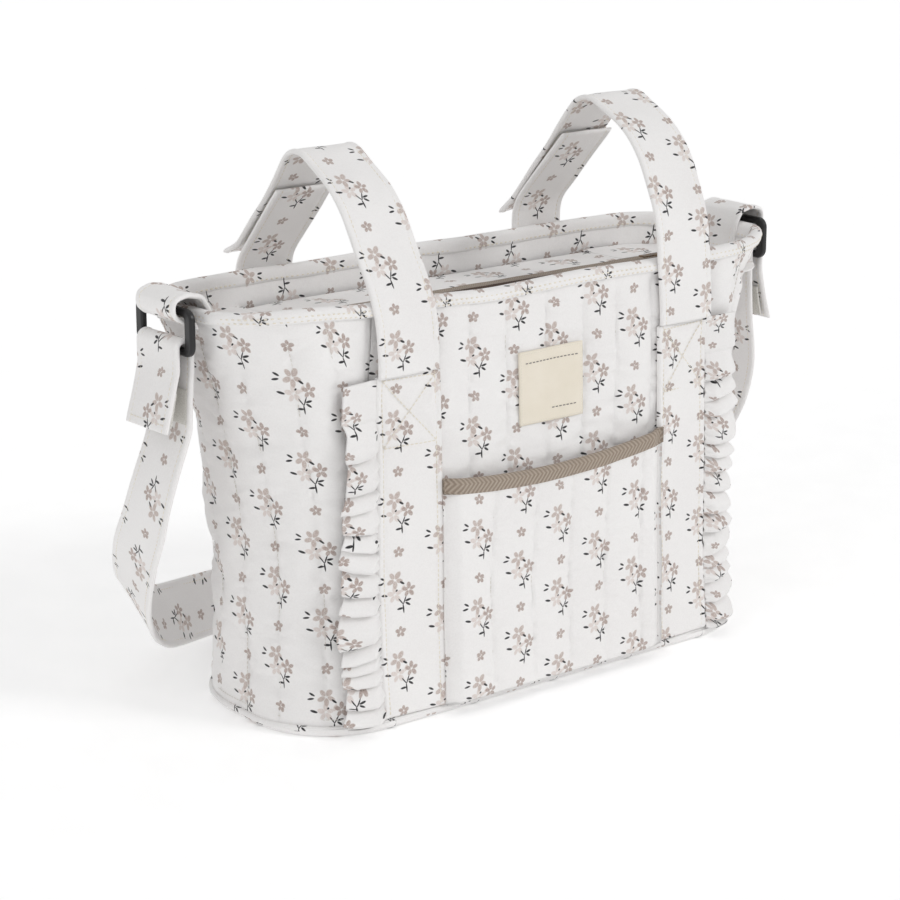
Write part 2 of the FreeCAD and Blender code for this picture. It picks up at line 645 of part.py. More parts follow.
walls()
inside_pieces()
front_details()
for side, hand in ((-1, "left"), (1, "right")):
    bands_and_ruffles(side, hand)
    handle(side, hand)
    tab(side, hand)
    ring(side, hand)
    tail_patches(side, hand)
    zip_end(side, hand)
shoulder_strap()
zip_half(True)
zip_half(False)
zip_slider()
zip_pull()

doc.recompute()
for item in doc.Objects:
    if "Invalid" in item.State or "Error" in item.State:
        raise RuntimeError(f"{item.Label} failed: {item.State}")
os.makedirs("parts", exist_ok=True)
for item in SUBPARTS:
    if item.Shape.isNull() or not item.Shape.isValid():
        raise RuntimeError(f"{item.Label} has no valid shape")
    item.Shape.exportStep(f"parts/{item.Label}.step")
    box = item.Shape.BoundBox
    print(f"{item.Label:20s} {item.Shape.Volume / 1000:9.2f} cm3  solids {len(item.Shape.Solids)}"
          f"  x {box.XMin:7.1f} {box.XMax:7.1f}  y {box.YMin:7.1f} {box.YMax:7.1f}"
          f"  z {box.ZMin:7.1f} {box.ZMax:7.1f}")
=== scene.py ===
"""Looks of the quilted diaper bag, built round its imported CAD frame.

Shapes are worked out in millimetres and become metres when a mesh is made. The frame is the
CAD's: +X along the front, the front faces -Y, +Z up, the origin in the middle of the base.
"""
import math
import bpy
import numpy as np
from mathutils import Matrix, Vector


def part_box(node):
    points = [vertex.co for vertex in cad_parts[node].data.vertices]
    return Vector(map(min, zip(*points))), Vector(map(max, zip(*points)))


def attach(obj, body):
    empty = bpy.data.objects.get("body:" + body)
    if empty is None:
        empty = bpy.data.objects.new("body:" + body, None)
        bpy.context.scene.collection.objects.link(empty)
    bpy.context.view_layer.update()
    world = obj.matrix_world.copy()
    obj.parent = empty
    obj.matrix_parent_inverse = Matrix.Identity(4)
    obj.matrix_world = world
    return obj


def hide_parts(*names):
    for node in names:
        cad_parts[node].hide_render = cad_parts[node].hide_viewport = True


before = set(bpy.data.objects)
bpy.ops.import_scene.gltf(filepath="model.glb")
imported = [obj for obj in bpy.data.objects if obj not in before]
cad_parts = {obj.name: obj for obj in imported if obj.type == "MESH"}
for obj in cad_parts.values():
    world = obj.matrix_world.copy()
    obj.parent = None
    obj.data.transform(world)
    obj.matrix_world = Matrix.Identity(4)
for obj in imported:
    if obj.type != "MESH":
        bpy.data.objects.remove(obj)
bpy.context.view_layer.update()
MM = 0.001


def edges_mm(node):
    """Lowest and highest corner of a CAD node, in millimetres."""
    low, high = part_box(node)
    return np.array(low) * 1000, np.array(high) * 1000


# ---- shaders: arithmetic written in Python becomes shader nodes --------------------------


def linear(red, green, blue):
    """A colour given as it looks on screen, as the shader wants it."""
    return tuple(((c + 0.055) / 1.055) ** 2.4 if c > 0.04 else c / 12.92 for c in (red, green, blue)) + (1.0,)


SPOT_BLUR = 0.18       # softness of a printed spot's edge, as a share of its size
PETALS = 5
PETAL_MIDDLE = 0.57    # a petal's middle, as a share of the flower's radius
PETAL_UNEVEN = 0.10
PETAL_BLUR = 0.22


class Number:
    """A number that varies over a surface."""

    def __init__(self, paint, socket):
        self.paint = paint
        self.socket = socket

    def __add__(self, other):
        return self.paint.math("ADD", self, other)

    def __sub__(self, other):
        return self.paint.math("SUBTRACT", self, other)

    def __rsub__(self, other):
        return self.paint.math("SUBTRACT", other, self)

    def __mul__(self, other):
        return self.paint.math("MULTIPLY", self, other)

    def __truediv__(self, other):
        return self.paint.math("DIVIDE", self, other)

    __radd__ = __add__
    __rmul__ = __mul__


class Paint:
    """One material and the nodes that colour it."""

    def __init__(self, name, roughness, sheen=0.0, specular=0.3):
        self.material = bpy.data.materials.new(name)
        self.material.use_nodes = True
        self.tree = self.material.node_tree
        self.shader = self.tree.nodes["Principled BSDF"]
        self.shader.inputs["Roughness"].default_value = roughness
        self.shader.inputs["Sheen Weight"].default_value = sheen
        self.shader.inputs["Sheen Roughness"].default_value = 0.6
        self.shader.inputs["Specular IOR Level"].default_value = specular

    def node(self, kind, **settings):
        made = self.tree.nodes.new(kind)
        for key, value in settings.items():
            setattr(made, key, value)
        return made

    def join(self, value, socket):
        """Put a number, a colour or another node's output into a socket."""
        if isinstance(value, Number):
            value = value.socket
        if isinstance(value, bpy.types.NodeSocket):
            self.tree.links.new(value, socket)
        else:
            socket.default_value = value

    def math(self, operation, *values, clamp=False):
        made = self.node("ShaderNodeMath", operation=operation, use_clamp=clamp)
        for value, socket in zip(values, made.inputs):
            self.join(value, socket)
        return Number(self, made.outputs[0])

    def cloth_place(self):
        """Place on the cloth, across and along, in millimetres."""
        place = self.node("ShaderNodeUVMap", uv_map="cloth")
        split = self.node("ShaderNodeSeparateXYZ")
        self.join(place.outputs[0], split.inputs[0])
        return Number(self, split.outputs[0]) * 1000, Number(self, split.outputs[1]) * 1000

    def vector(self, x, y):
        made = self.node("ShaderNodeCombineXYZ")
        self.join(x, made.inputs[0])
        self.join(y, made.inputs[1])
        return made.outputs[0]

    def local(self, place, centre, half_size, turn=0.0):
        """Place seen from a spot's own centre, turned and scaled so that its edge is at 1."""
        made = self.node("ShaderNodeMapping", vector_type="TEXTURE")
        self.join(place, made.inputs["Vector"])
        made.inputs["Location"].default_value = (*centre, 0)
        made.inputs["Rotation"].default_value = (0, 0, math.radians(turn))
        made.inputs["Scale"].default_value = (*half_size, 1)
        return made.outputs[0]

    def length(self, vector):
        made = self.node("ShaderNodeVectorMath", operation="LENGTH")
        self.join(vector, made.inputs[0])
        return Number(self, made.outputs["Value"])

    def soft_step(self, value, low, high):
        """0 below low, 1 above high."""
        made = self.node("ShaderNodeMapRange", interpolation_type="SMOOTHSTEP")
        self.join(value, made.inputs["Value"])
        made.inputs["From Min"].default_value = low
        made.inputs["From Max"].default_value = high
        return Number(self, made.outputs["Result"])

    def spot(self, place, centre, half_size, turn):
        """An elliptical spot: 1 inside and 0 outside."""
        far = self.length(self.local(place, centre, half_size, turn))
        return 1 - self.soft_step(far, 1 - SPOT_BLUR, 1 + SPOT_BLUR)

    def flower(self, place, centre, radius, turn, plump=0.27):
        """A flower of five egg-shaped petals that grow out of its heart."""
        seen = self.local(place, centre, (radius, radius), turn)
        split = self.node("ShaderNodeSeparateXYZ")
        self.join(seen, split.inputs[0])
        sector = 2 * math.pi / PETALS
        angle = self.math("ARCTAN2", Number(self, split.outputs[1]), Number(self, split.outputs[0]))
        petal = self.math("FLOOR", angle / sector + 0.5)
        aside = angle - petal * sector
        far = self.length(seen)
        along = (far * self.math("COSINE", aside) - PETAL_MIDDLE) / (1 - PETAL_MIDDLE)
        across = far * self.math("SINE", aside) / plump
        reach = self.math("SQRT", along * along + across * across)
        uneven = self.math("SINE", petal * 2.4 + turn) * PETAL_UNEVEN + 1.0
        return 1 - self.soft_step(reach * uneven, 1 - PETAL_BLUR, 1 + PETAL_BLUR)

    def largest(self, values):
        top = values[0]
        for value in values[1:]:
            top = self.math("MAXIMUM", top, value)
        return top

    def mix(self, amount, first, second):
        """From the first colour at 0 to the second at 1."""
        made = self.node("ShaderNodeMix", data_type="RGBA")
        self.join(amount, made.inputs["Factor"])
        self.join(first, made.inputs["A"])
        self.join(second, made.inputs["B"])
        return made.outputs["Result"]

    def noise(self, scale, detail=3.0, stretch=(1, 1, 1)):
        """Noise fixed to the object, with patches about 1 / scale metres across."""
        place = self.node("ShaderNodeTexCoord")
        mapped = self.node("ShaderNodeMapping")
        self.join(place.outputs["Object"], mapped.inputs["Vector"])
        mapped.inputs["Scale"].default_value = stretch
        made = self.node("ShaderNodeTexNoise")
        self.join(mapped.outputs[0], made.inputs["Vector"])
        made.inputs["Scale"].default_value = scale
        made.inputs["Detail"].default_value = detail
        return Number(self, made.outputs["Fac"])

    def finish(self, colour, heights, roughness=None):
        """Connect the colour and the relief: pairs of a height and its depth in metres."""
        self.join(colour, self.shader.inputs["Base Color"])
        if roughness is not None:
            self.join(roughness, self.shader.inputs["Roughness"])
        normal = None
        for height, depth in heights:
            bump = self.node("ShaderNodeBump")
            bump.inputs["Strength"].default_value = 1.0
            bump.inputs["Distance"].default_value = depth
            self.join(height, bump.inputs["Height"])
            if normal is not None:
                self.join(normal, bump.inputs["Normal"])
            normal = bump.outputs[0]
        if normal is not None:
            self.join(normal, self.shader.inputs["Normal"])
        return self.material


COTTON = linear(0.958, 0.952, 0.948)
COTTON_SHADE = linear(0.935, 0.926, 0.922)
PETAL = linear(0.760, 0.700, 0.672)
PETAL_DEEP = linear(0.690, 0.620, 0.590)
PETAL_PALE = linear(0.870, 0.828, 0.808)
LEAF = linear(0.200, 0.195, 0.205)
TAUPE = linear(0.690, 0.635, 0.580)
TAUPE_DEEP = linear(0.560, 0.505, 0.450)
CREAM = linear(0.970, 0.938, 0.880)

COLUMN = 34.6          # distance between the print's columns
REPEAT = 53.5          # repeat along a column, from one bouquet to the next
THREAD = 0.55          # distance between the cloth's threads
LEAVES = [
    # centre, half length and width, turn
    ((-11.4, 10.3), (2.1, 0.70), -30), ((-12.3, 7.3), (2.2, 0.70), 8), ((3.0, 5.6), (1.9, 0.75), -33),
    ((-10.4, -1.0), (2.5, 0.80), -15), ((-1.1, 0.9), (0.9, 0.6), 40), ((0.9, -11.4), (2.3, 0.75), 4),
    ((7.0, -6.4), (2.2, 0.75), 12), ((6.7, -8.9), (2.1, 0.75), -34),
]
STEMS = [((3.3, -11.6), (0.55, 3.1), 3), ((1.7, -6.7), (0.45, 2.7), 38), ((4.5, -6.3), (0.45, 3.1), -24)]


def weave(paint, u, v, thread=THREAD):
    """Height of a plain weave: threads over and under each other."""
    across = paint.math("SINE", u * (2 * math.pi / thread))
    along = paint.math("SINE", v * (2 * math.pi / thread))
    return across * along


def folded(paint, value, period):
    """A place within its own period, from minus half a period to half a period, and its number."""
    count = paint.math("FLOOR", value / period + 0.5)
    return value - count * period, count


def print_layers(paint, u, v, shift):
    """Masks of the sprig print: pale petals, petals, deep petals and leaves."""
    du, column = folded(paint, u - shift[0], COLUMN)
    odd = paint.math("FRACT", column * 0.5) * 2
    raised = v - shift[1] + odd * (REPEAT / 2)
    dv, row = folded(paint, raised, REPEAT)
    lone_v, _ = folded(paint, raised + REPEAT / 2, REPEAT)
    chance = paint.node("ShaderNodeTexWhiteNoise", noise_dimensions="2D")
    paint.join(paint.vector(column, row), chance.inputs["Vector"])
    drift = (Number(paint, chance.outputs["Value"]) - 0.5) * 2.0
    place = paint.vector(du + drift, dv)
    lone = paint.vector(du - drift, lone_v)

    leaves = [paint.spot(place, centre, half_size, turn) for centre, half_size, turn in LEAVES + STEMS]
    mauve = [paint.flower(place, (-2.2, 8.2), 6.0, 55)]
    pale = [paint.flower(place, (-2.6, -1.6), 5.6, 20), paint.spot(place, (3.6, 1.6), (2.3, 1.2), 65)]
    deep = [paint.flower(place, (7.8, 0.4), 5.0, 92)]
    lone_flower = paint.flower(lone, (0, 0), 3.9, 18, 0.32)
    return [paint.largest(layer) for layer in (pale, mauve, deep + [lone_flower], leaves)]


def printed_cotton(name, shift, puckers=0.0):
    """The off-white sprig-printed cotton; shift places the print on one piece."""
    paint = Paint(name, 0.85, sheen=0.12, specular=0.22)
    u, v = paint.cloth_place()
    pale, mauve, deep, leaves = print_layers(paint, u, v, shift)
    fine = paint.noise(900, 2)
    broad = paint.noise(14, 3)
    ink = paint.soft_step(paint.noise(1500, 3), 0.22, 0.62) * 0.5 + 0.5
    solid = paint.soft_step(paint.noise(2600, 2), 0.15, 0.40) * 0.25 + 0.75
    colour = paint.mix(paint.soft_step(broad * 0.5 + fine * 0.5, 0.35, 0.75), COTTON, COTTON_SHADE)
    colour = paint.mix(pale * ink, colour, PETAL_PALE)
    colour = paint.mix(mauve * ink, colour, PETAL)
    colour = paint.mix(deep * ink, colour, PETAL_DEEP)
    colour = paint.mix(leaves * solid, colour, LEAF)
    heights = [(weave(paint, u, v), 0.00005), (paint.noise(160, 4), 0.0004)]
    if puckers:
        heights.append((paint.noise(55, 3, (0.6, 0.6, 1.6)), puckers))
    return paint.finish(colour, heights, paint.soft_step(fine, 0.2, 0.8) * 0.12 + 0.78)


def plain_cloth(name, light, dark, thread=THREAD, relief=0.00008):
    """Plain woven cloth in two close shades."""
    paint = Paint(name, 0.88, sheen=0.1, specular=0.2)
    u, v = paint.cloth_place()
    threads = weave(paint, u, v, thread)
    blotch = paint.noise(60, 4)
    colour = paint.mix(paint.soft_step(blotch * 0.6 + threads * 0.2 + 0.2, 0.2, 0.8), light, dark)
    return paint.finish(colour, [(threads, relief), (paint.noise(300, 3), 0.0002)],
                        paint.soft_step(blotch, 0.2, 0.8) * 0.1 + 0.82)


def herringbone(name, rib=2.6, lean=0.9, stripe=6.0):
    """Taupe twill tape: diagonal ribs that change direction in stripes."""
    paint = Paint(name, 0.8, sheen=0.1, specular=0.25)
    u, v = paint.cloth_place()
    side = paint.math("PINGPONG", v, stripe)
    ribs = paint.math("SINE", (u + side * lean) * (2 * math.pi / rib))
    fibres = paint.noise(1500, 2)
    tone = ribs * 0.35 + fibres * 0.5 + 0.25
    colour = paint.mix(paint.soft_step(tone, 0.1, 0.95), TAUPE_DEEP, TAUPE)
    return paint.finish(colour, [(ribs, 0.00022), (fibres, 0.00015)])


def moulded(name, colour, roughness, grain=400, depth=0.00012):
    """Moulded plastic with a fine grain and slight handling wear."""
    paint = Paint(name, roughness, specular=0.5)
    wear = paint.noise(35, 5)
    pale = tuple(min(1.0, c * 1.7 + 0.01) for c in colour[:3]) + (1.0,)
    shade = paint.mix(paint.soft_step(wear, 0.52, 0.75), colour, pale)
    return paint.finish(shade, [(paint.noise(grain, 4), depth)],
                        paint.soft_step(wear, 0.3, 0.7) * 0.15 + (roughness - 0.05))


def hook_and_loop(name):
    """Fine pile of a hook-and-loop patch."""
    paint = Paint(name, 0.95, sheen=0.3, specular=0.1)
    pile = paint.noise(2200, 3)
    colour = paint.mix(paint.soft_step(pile, 0.3, 0.7), linear(0.80, 0.79, 0.76), linear(0.93, 0.92, 0.90))
    return paint.finish(colour, [(pile, 0.0005)])


def thread_material(name, light, dark):
    """Twisted sewing thread."""
    paint = Paint(name, 0.7, sheen=0.2, specular=0.3)
    twist = paint.noise(3000, 2)
    colour = paint.mix(paint.soft_step(twist, 0.3, 0.7), dark, light)
    return paint.finish(colour, [(twist, 0.0001)])


def metal(name):
    """Antique zip metal, darker in its hollows."""
    paint = Paint(name, 0.4, specular=0.5)
    paint.shader.inputs["Metallic"].default_value = 1.0
    age = paint.noise(300, 5)
    colour = paint.mix(paint.soft_step(age, 0.35, 0.7), linear(0.34, 0.28, 0.22), linear(0.62, 0.53, 0.43))
    return paint.finish(colour, [(age, 0.00005)], paint.soft_step(age, 0.3, 0.7) * 0.25 + 0.3)


def board_material(name):
    """Pressed stiffener board."""
    paint = Paint(name, 0.8, specular=0.3)
    fleck = paint.noise(420, 5)
    colour = paint.mix(paint.soft_step(fleck, 0.35, 0.65), linear(0.72, 0.70, 0.66), linear(0.84, 0.83, 0.80))
    return paint.finish(colour, [(fleck, 0.0002)])


# ---- meshes out of grids of points ------------------------------------------------------


def quads(rows, columns, wrap=False):
    """Vertex numbers of a grid's faces, and the matching numbers on its unwrapped map."""
    count = columns if wrap else columns - 1
    i, j = np.meshgrid(np.arange(rows - 1), np.arange(count), indexing="ij")
    i = i.ravel()
    j = j.ravel()
    k = (j + 1) % columns
    wide = columns + 1 if wrap else columns
    corners = np.stack([i * columns + j, i * columns + k, (i + 1) * columns + k, (i + 1) * columns + j], 1)
    mapped = np.stack([i * wide + j, i * wide + j + 1, (i + 1) * wide + j + 1, (i + 1) * wide + j], 1)
    return corners, mapped


def mesh_object(name, points, faces, places, material):
    """A mesh object from points in mm, four-cornered faces, and a cloth place for each corner."""
    mesh = bpy.data.meshes.new(name)
    mesh.vertices.add(len(points))
    mesh.vertices.foreach_set("co", (np.asarray(points, float) * MM).ravel().astype(np.float32))
    mesh.loops.add(faces.size)
    mesh.loops.foreach_set("vertex_index", faces.ravel().astype(np.int32))
    mesh.polygons.add(len(faces))
    mesh.polygons.foreach_set("loop_start", np.arange(0, faces.size, 4, dtype=np.int32))
    mesh.polygons.foreach_set("use_smooth", np.full(len(faces), True))
    mesh.update(calc_edges=True)
    layer = mesh.uv_layers.new(name="cloth")
    layer.data.foreach_set("uv", (np.asarray(places, float) * MM).reshape(-1, 2).ravel().astype(np.float32))
    mesh.materials.append(material)
    made = bpy.data.objects.new(name, mesh)
    bpy.context.scene.collection.objects.link(made)
    return made


def map_grid(across, along):
    """Cloth places of a grid, from its columns' and rows' coordinates or full arrays."""
    across = np.asarray(across, float)
    along = np.asarray(along, float)
    if across.ndim == 1 and along.ndim == 1:
        across, along = np.meshgrid(across, along)
    return np.stack([across, along], -1)


def shell(name, outer, inner, places, material):
    """A closed slab between two matching grids of points."""
    rows, columns = outer.shape[:2]
    face, _ = quads(rows, columns)
    size = rows * columns
    number = np.arange(size).reshape(rows, columns)
    faces = [face, face[:, ::-1] + size]
    for line, turn in ((number[0], False), (number[-1], True), (number[:, 0], True), (number[:, -1], False)):
        first, second = line[:-1], line[1:]
        strip = np.stack([second, first, first + size, second + size], 1)
        faces.append(strip[:, ::-1] if turn else strip)
    faces = np.concatenate(faces)
    points = np.concatenate([outer.reshape(-1, 3), inner.reshape(-1, 3)])
    return mesh_object(name, points, faces, places.reshape(-1, 2)[faces % size], material)


def single(name, points, places, material, wrap=False):
    """An open sheet from a grid of points."""
    face, mapped = quads(points.shape[0], points.shape[1], wrap)
    return mesh_object(name, points.reshape(-1, 3), face, places.reshape(-1, 2)[mapped], material)


def put(piece, body, slot, *nodes):
    """Fix a piece to its body and hide the CAD nodes that it stands for; the slot argument is not used."""
    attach(piece, body)
    if nodes:
        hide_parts(*nodes)
    return piece


# ---- small numeric helpers --------------------------------------------------------------


def smooth(value, low, high):
    """0 below low, 1 above high, with a soft turn."""
    t = np.clip((value - low) / (high - low), 0, 1)
    return t * t * (3 - 2 * t)


def hump(value, centre, width):
    """A soft bump of height 1."""
    return np.exp(-((value - centre) / width) ** 2)


def ripple(a, b, wave_a, wave_b, seed):
    """Gentle seeded unevenness between about -1 and 1."""
    chance = np.random.default_rng(seed)
    total = np.zeros(np.broadcast(a, b).shape)
    for step in range(5):
        turn = chance.uniform(0, 2 * math.pi)
        scale = chance.uniform(0.7, 1.5)
        heading = chance.uniform(-0.9, 0.9)
        total = total + np.sin(scale * (2 * math.pi * a / wave_a * math.cos(heading)
                                        + 2 * math.pi * b / wave_b * math.sin(heading + step)) + turn)
    return total / 3.0


def rounded_edge(distance, radius):
    """Share of the full thickness at a distance from a rolled edge."""
    t = np.clip(distance / radius, 0, 1)
    return np.sqrt(1 - (1 - t) ** 2)


# ---- the bag's form ---------------------------------------------------------------------

RIM_HIGH = edges_mm("rim_hem")[1]
LEVELS = np.array([0.0, 150.0, RIM_HIGH[2]])     # base, waist and rim; the tuples below follow them
HALF_WIDTHS = (204.0, 210.0, RIM_HIGH[0])
HALF_DEPTHS = (82.0, 79.0, 76.0)
FRONT_CORNERS = (62.0, 64.0, 48.0)
REAR_CORNERS = (74.0, 72.0, 60.0)


def through(heights, values):
    """A smooth run through the values at the bag's three levels."""
    return np.polyval(np.polyfit(LEVELS, values, 2), heights)


def outline(z):
    """Half width, half depth, front and rear corner radius of the outer face at a height."""
    z = np.asarray(z, float)
    return tuple(through(z, values) for values in (HALF_WIDTHS, HALF_DEPTHS, FRONT_CORNERS, REAR_CORNERS))


def girth(z):
    """Distance round half of the bag, from the middle of the front to the middle of the back."""
    w, d, f, r = outline(z)
    return (w - f) + (w - r) + (2 * d - f - r) + (f + r) * math.pi / 2


def on_body(s, z, lift):
    """Points and outward directions at distance s round the bag, at height z, off the outer face."""
    s, z, lift = np.broadcast_arrays(np.asarray(s, float), np.asarray(z, float), np.asarray(lift, float))
    w, d, f, r = outline(z)
    half = girth(z)
    s = np.mod(s + half, 2 * half) - half
    hand = np.where(s < 0, -1.0, 1.0)
    q = np.abs(s)
    ends = np.cumsum([w - f, f * math.pi / 2, 2 * d - f - r, r * math.pi / 2], axis=0)
    front_turn = np.clip((q - ends[0]) / f, 0, math.pi / 2)
    rear_turn = np.clip((q - ends[2]) / r, 0, math.pi / 2)
    on_side = (q > ends[1]) & (q <= ends[2])
    behind = q > ends[2]
    turn = np.where(behind, math.pi / 2 + rear_turn, front_turn)
    nx = np.sin(turn)
    ny = -np.cos(turn)
    x = np.where(q <= ends[0], q, (w - f) + (f + lift) * np.sin(front_turn))
    y = np.where(q <= ends[0], -(d + lift), -(d - f) - (f + lift) * np.cos(front_turn))
    x = np.where(on_side, w + lift, x)
    y = np.where(on_side, -(d - f) + (q - ends[1]), y)
    x = np.where(behind, (w - r) + (r + lift) * np.cos(rear_turn), x)
    y = np.where(behind, (d - r) + (r + lift) * np.sin(rear_turn), y)
    past = q > ends[3]
    x = np.where(past, (w - r) - (q - ends[3]), x)
    y = np.where(past, d + lift, y)
    return np.stack([x * hand, y, z], -1), np.stack([nx * hand, ny, np.zeros_like(nx)], -1)


def round_to(x, z, back=False):
    """Distance round the bag at which its outline reaches an x."""
    x = np.asarray(x, float)
    w, _, f, r = outline(z)
    radius = r if back else f
    over = np.clip((np.abs(x) - (w - radius)) / radius, 0, 1)
    reach = np.minimum(np.abs(x), w - radius) + radius * np.arcsin(over)
    if back:
        reach = girth(z) - reach
    return np.where(x < 0, -reach, reach)


BELLY_BACK = 6.0               # the front, beside its bands
RIM_DISH = (2.4, 2.5)          # middle of the rim drawn in, front and rear
RIM_WING = (4.0, 9.0)          # left end of the rim pushed out, front and rear
CORNER_IN = (11.0, 9.0)        # upper front corners drawn in, sideways and backwards
CORNER_OUT = (5.0, 3.5)        # lower front corners pushed out, sideways and forwards
END_HOLLOW = (-3.5, 2.0)       # the ends between rim and base, and their middle
CORNER_RISE = 7.0              # the rim's left front corner stands up
FRONT_SAG = 1.6                # the front rim hangs at its middle


def slouch(points):
    """How the soft bag stands off its exact form: dished, leaning and slightly uneven."""
    x, y, z = points[..., 0], points[..., 1], points[..., 2]
    high = smooth(z, 120, 275)
    front = smooth(-y, 20, 60)
    rear = smooth(y, 10, 50)
    moved = np.zeros(points.shape)
    belly_low = (0.4 + 0.6 * smooth(z, 8, 60)) * (1 - smooth(z, 215, 272))
    moved[..., 1] += BELLY_BACK * front * belly_low * smooth(np.abs(x), 90, 150)
    moved[..., 1] += RIM_DISH[0] * front * high * hump(x, -10, 90)
    moved[..., 1] -= RIM_WING[0] * front * high * hump(x, -196, 26)
    moved[..., 1] -= RIM_DISH[1] * rear * high * hump(x, 0, 110)
    moved[..., 1] -= RIM_WING[1] * rear * high * hump(x, -185, 34)
    corner = hump(x, 214, 34) * front
    moved[..., 0] -= CORNER_IN[0] * corner * smooth(z, 130, 262)
    moved[..., 1] += CORNER_IN[1] * corner * smooth(z, 130, 262)
    moved[..., 0] += CORNER_OUT[0] * corner * (1 - smooth(z, 20, 130)) * smooth(z, 3, 25)
    moved[..., 1] -= CORNER_OUT[1] * corner * (1 - smooth(z, 20, 130)) * smooth(z, 3, 25)
    side = smooth(np.abs(x), 188, 205)
    belly = smooth(z, 25, 110) * (1 - smooth(z, 170, 262))
    moved[..., 0] += np.sign(x) * side * belly * (END_HOLLOW[0] + END_HOLLOW[1] * hump(y, -10, 40))
    moved[..., 2] += CORNER_RISE * smooth(z, 215, 276) * smooth(-y, 15, 50) * hump(x, -203, 38)
    uneven = smooth(z, 12, 60) * (1 - smooth(z, 262, 280) * 0.6)
    roll = ripple(x, z + 2 * y, 150, 110, 11) * 1.1 + ripple(x + y, z, 70, 64, 12) * 0.45
    moved[..., 1] += roll * uneven * (front - rear * 0.8)
    moved[..., 0] += ripple(y, z, 90, 80, 13) * 1.2 * uneven * side
    moved[..., 2] += smooth(z, 200, 278) * (ripple(x, y, 190, 120, 14) - FRONT_SAG * front * hump(x, -20, 60))
    return moved


def body_points(s, z, lift):
    """Points on the slouched bag and their outward directions."""
    flat, out = on_body(s, z, 0.0 * np.asarray(lift, float))
    lift = np.broadcast_to(np.asarray(lift, float), flat.shape[:-1])
    base = flat + slouch(flat)
    return base + out * lift[..., None], out


# ---- stitches ---------------------------------------------------------------------------

DASH_RINGS = ((-0.5, 0.25), (-0.34, 0.92), (0.0, 1.0), (0.34, 0.92), (0.5, 0.25))
DASH_SIDES = 6


def resampled(points, step):
    """Points along a line at even steps, with the line's direction at each."""
    points = np.asarray(points, float)
    runs = np.linalg.norm(np.diff(points, axis=0), axis=1)
    far = np.concatenate([[0], np.cumsum(runs)])
    at = np.arange(step / 2, far[-1], step)
    places = np.stack([np.interp(at, far, points[:, i]) for i in range(points.shape[1])], -1)
    ahead = np.stack([np.interp(at + step * 0.2, far, points[:, i]) for i in range(3)], -1)
    behind = np.stack([np.interp(at - step * 0.2, far, points[:, i]) for i in range(3)], -1)
    heading = ahead - behind
    return places, heading / np.linalg.norm(heading, axis=1)[:, None]


def stitches(name, lines, material, pitch=3.4, dash=2.5, width=0.55, sunk=0.1):
    """Rows of single stitches: each line is its points and the cloth's outward directions."""
    template = []
    for along, girth_share in DASH_RINGS:
        for side in range(DASH_SIDES):
            turn = 2 * math.pi * side / DASH_SIDES
            template.append((along * dash, math.cos(turn) * girth_share * width / 2,
                             math.sin(turn) * girth_share * width / 2))
    template = np.array(template)
    face, _ = quads(len(DASH_RINGS), DASH_SIDES, wrap=True)
    all_points, all_faces = [], []
    count = 0
    for points, outward in lines:
        both = np.concatenate([points, outward], 1)
        places, heading = resampled(both, pitch)
        spots, out = places[:, :3], places[:, 3:]
        across = np.cross(out, heading)
        across /= np.linalg.norm(across, axis=1)[:, None]
        up = np.cross(heading, across)
        for centre, ahead, aside, above in zip(spots, heading, across, up):
            placed = (centre - above * sunk + template[:, :1] * ahead + template[:, 1:2] * aside
                      + template[:, 2:] * above)
            all_points.append(placed)
            all_faces.append(face + count)
            count += len(template)
    faces = np.concatenate(all_faces)
    return mesh_object(name, np.concatenate(all_points), faces, np.zeros((faces.size, 2)), material)


def on_face(x, z, lift, back=False):
    """Points over a place on the front or the back, and their outward directions."""
    return body_points(round_to(x, z, back), z, lift)


# ---- materials --------------------------------------------------------------------------

PRINT_FRONT = printed_cotton("print_front", (5.0, 237.0), 0.0012)
PRINT_POCKET = printed_cotton("print_pocket", (-1.5, 118.0), 0.0010)
PRINT_LEFT = printed_cotton("print_left_side", (5.0, 18.0), 0.0012)
PRINT_RIGHT = printed_cotton("print_right_side", (0.0, 28.0), 0.0012)
PRINT_BACK = printed_cotton("print_back", (0.0, 40.0), 0.0012)
PRINT_BAND_LEFT = printed_cotton("print_band_left", (8.4, 38.0), 0.0004)
PRINT_BAND_RIGHT = printed_cotton("print_band_right", (2.0, 30.0), 0.0004)
PRINT_STRAP = printed_cotton("print_strap", (0.0, 10.0), 0.0004)
PRINT_TRIM = printed_cotton("print_trim", (8.0, 12.0), 0.0003)
LINING = plain_cloth("lining_cloth", linear(0.86, 0.84, 0.80), linear(0.78, 0.76, 0.72))
LABEL = plain_cloth("label_cloth", CREAM, linear(0.940, 0.905, 0.835), 0.9, 0.00012)
TAPE = herringbone("pocket_tape_twill", 3.4, 0.9, 6.0)
ZIP_TAPE = herringbone("zip_tape_twill", 1.6, 0.8, 3.2)
COIL = moulded("zip_coil_nylon", linear(0.36, 0.29, 0.25), 0.45, 900, 0.0001)
METAL = metal("zip_metal_aged")
PLASTIC = moulded("ring_black_plastic", linear(0.075, 0.075, 0.08), 0.34, 500, 0.00006)
PILE = hook_and_loop("fastener_pile")
BOARD = board_material("base_board_fibre")
WHITE_THREAD = thread_material("white_thread", linear(0.90, 0.88, 0.85), linear(0.80, 0.78, 0.75))
CREAM_THREAD = thread_material("cream_thread", linear(0.945, 0.92, 0.87), linear(0.88, 0.85, 0.79))
TAUPE_THREAD = thread_material("taupe_thread", linear(0.52, 0.50, 0.48), linear(0.40, 0.38, 0.36))


# ---- quilted panels ---------------------------------------------------------------------

SEAM_X = 146.0
PANEL_LOW = 4.0
PANEL_HIGH = 275.0
WALL = 8.0
STEP = 2.0
SEAM_DIP = 3.0         # depth of the valley along a corner seam


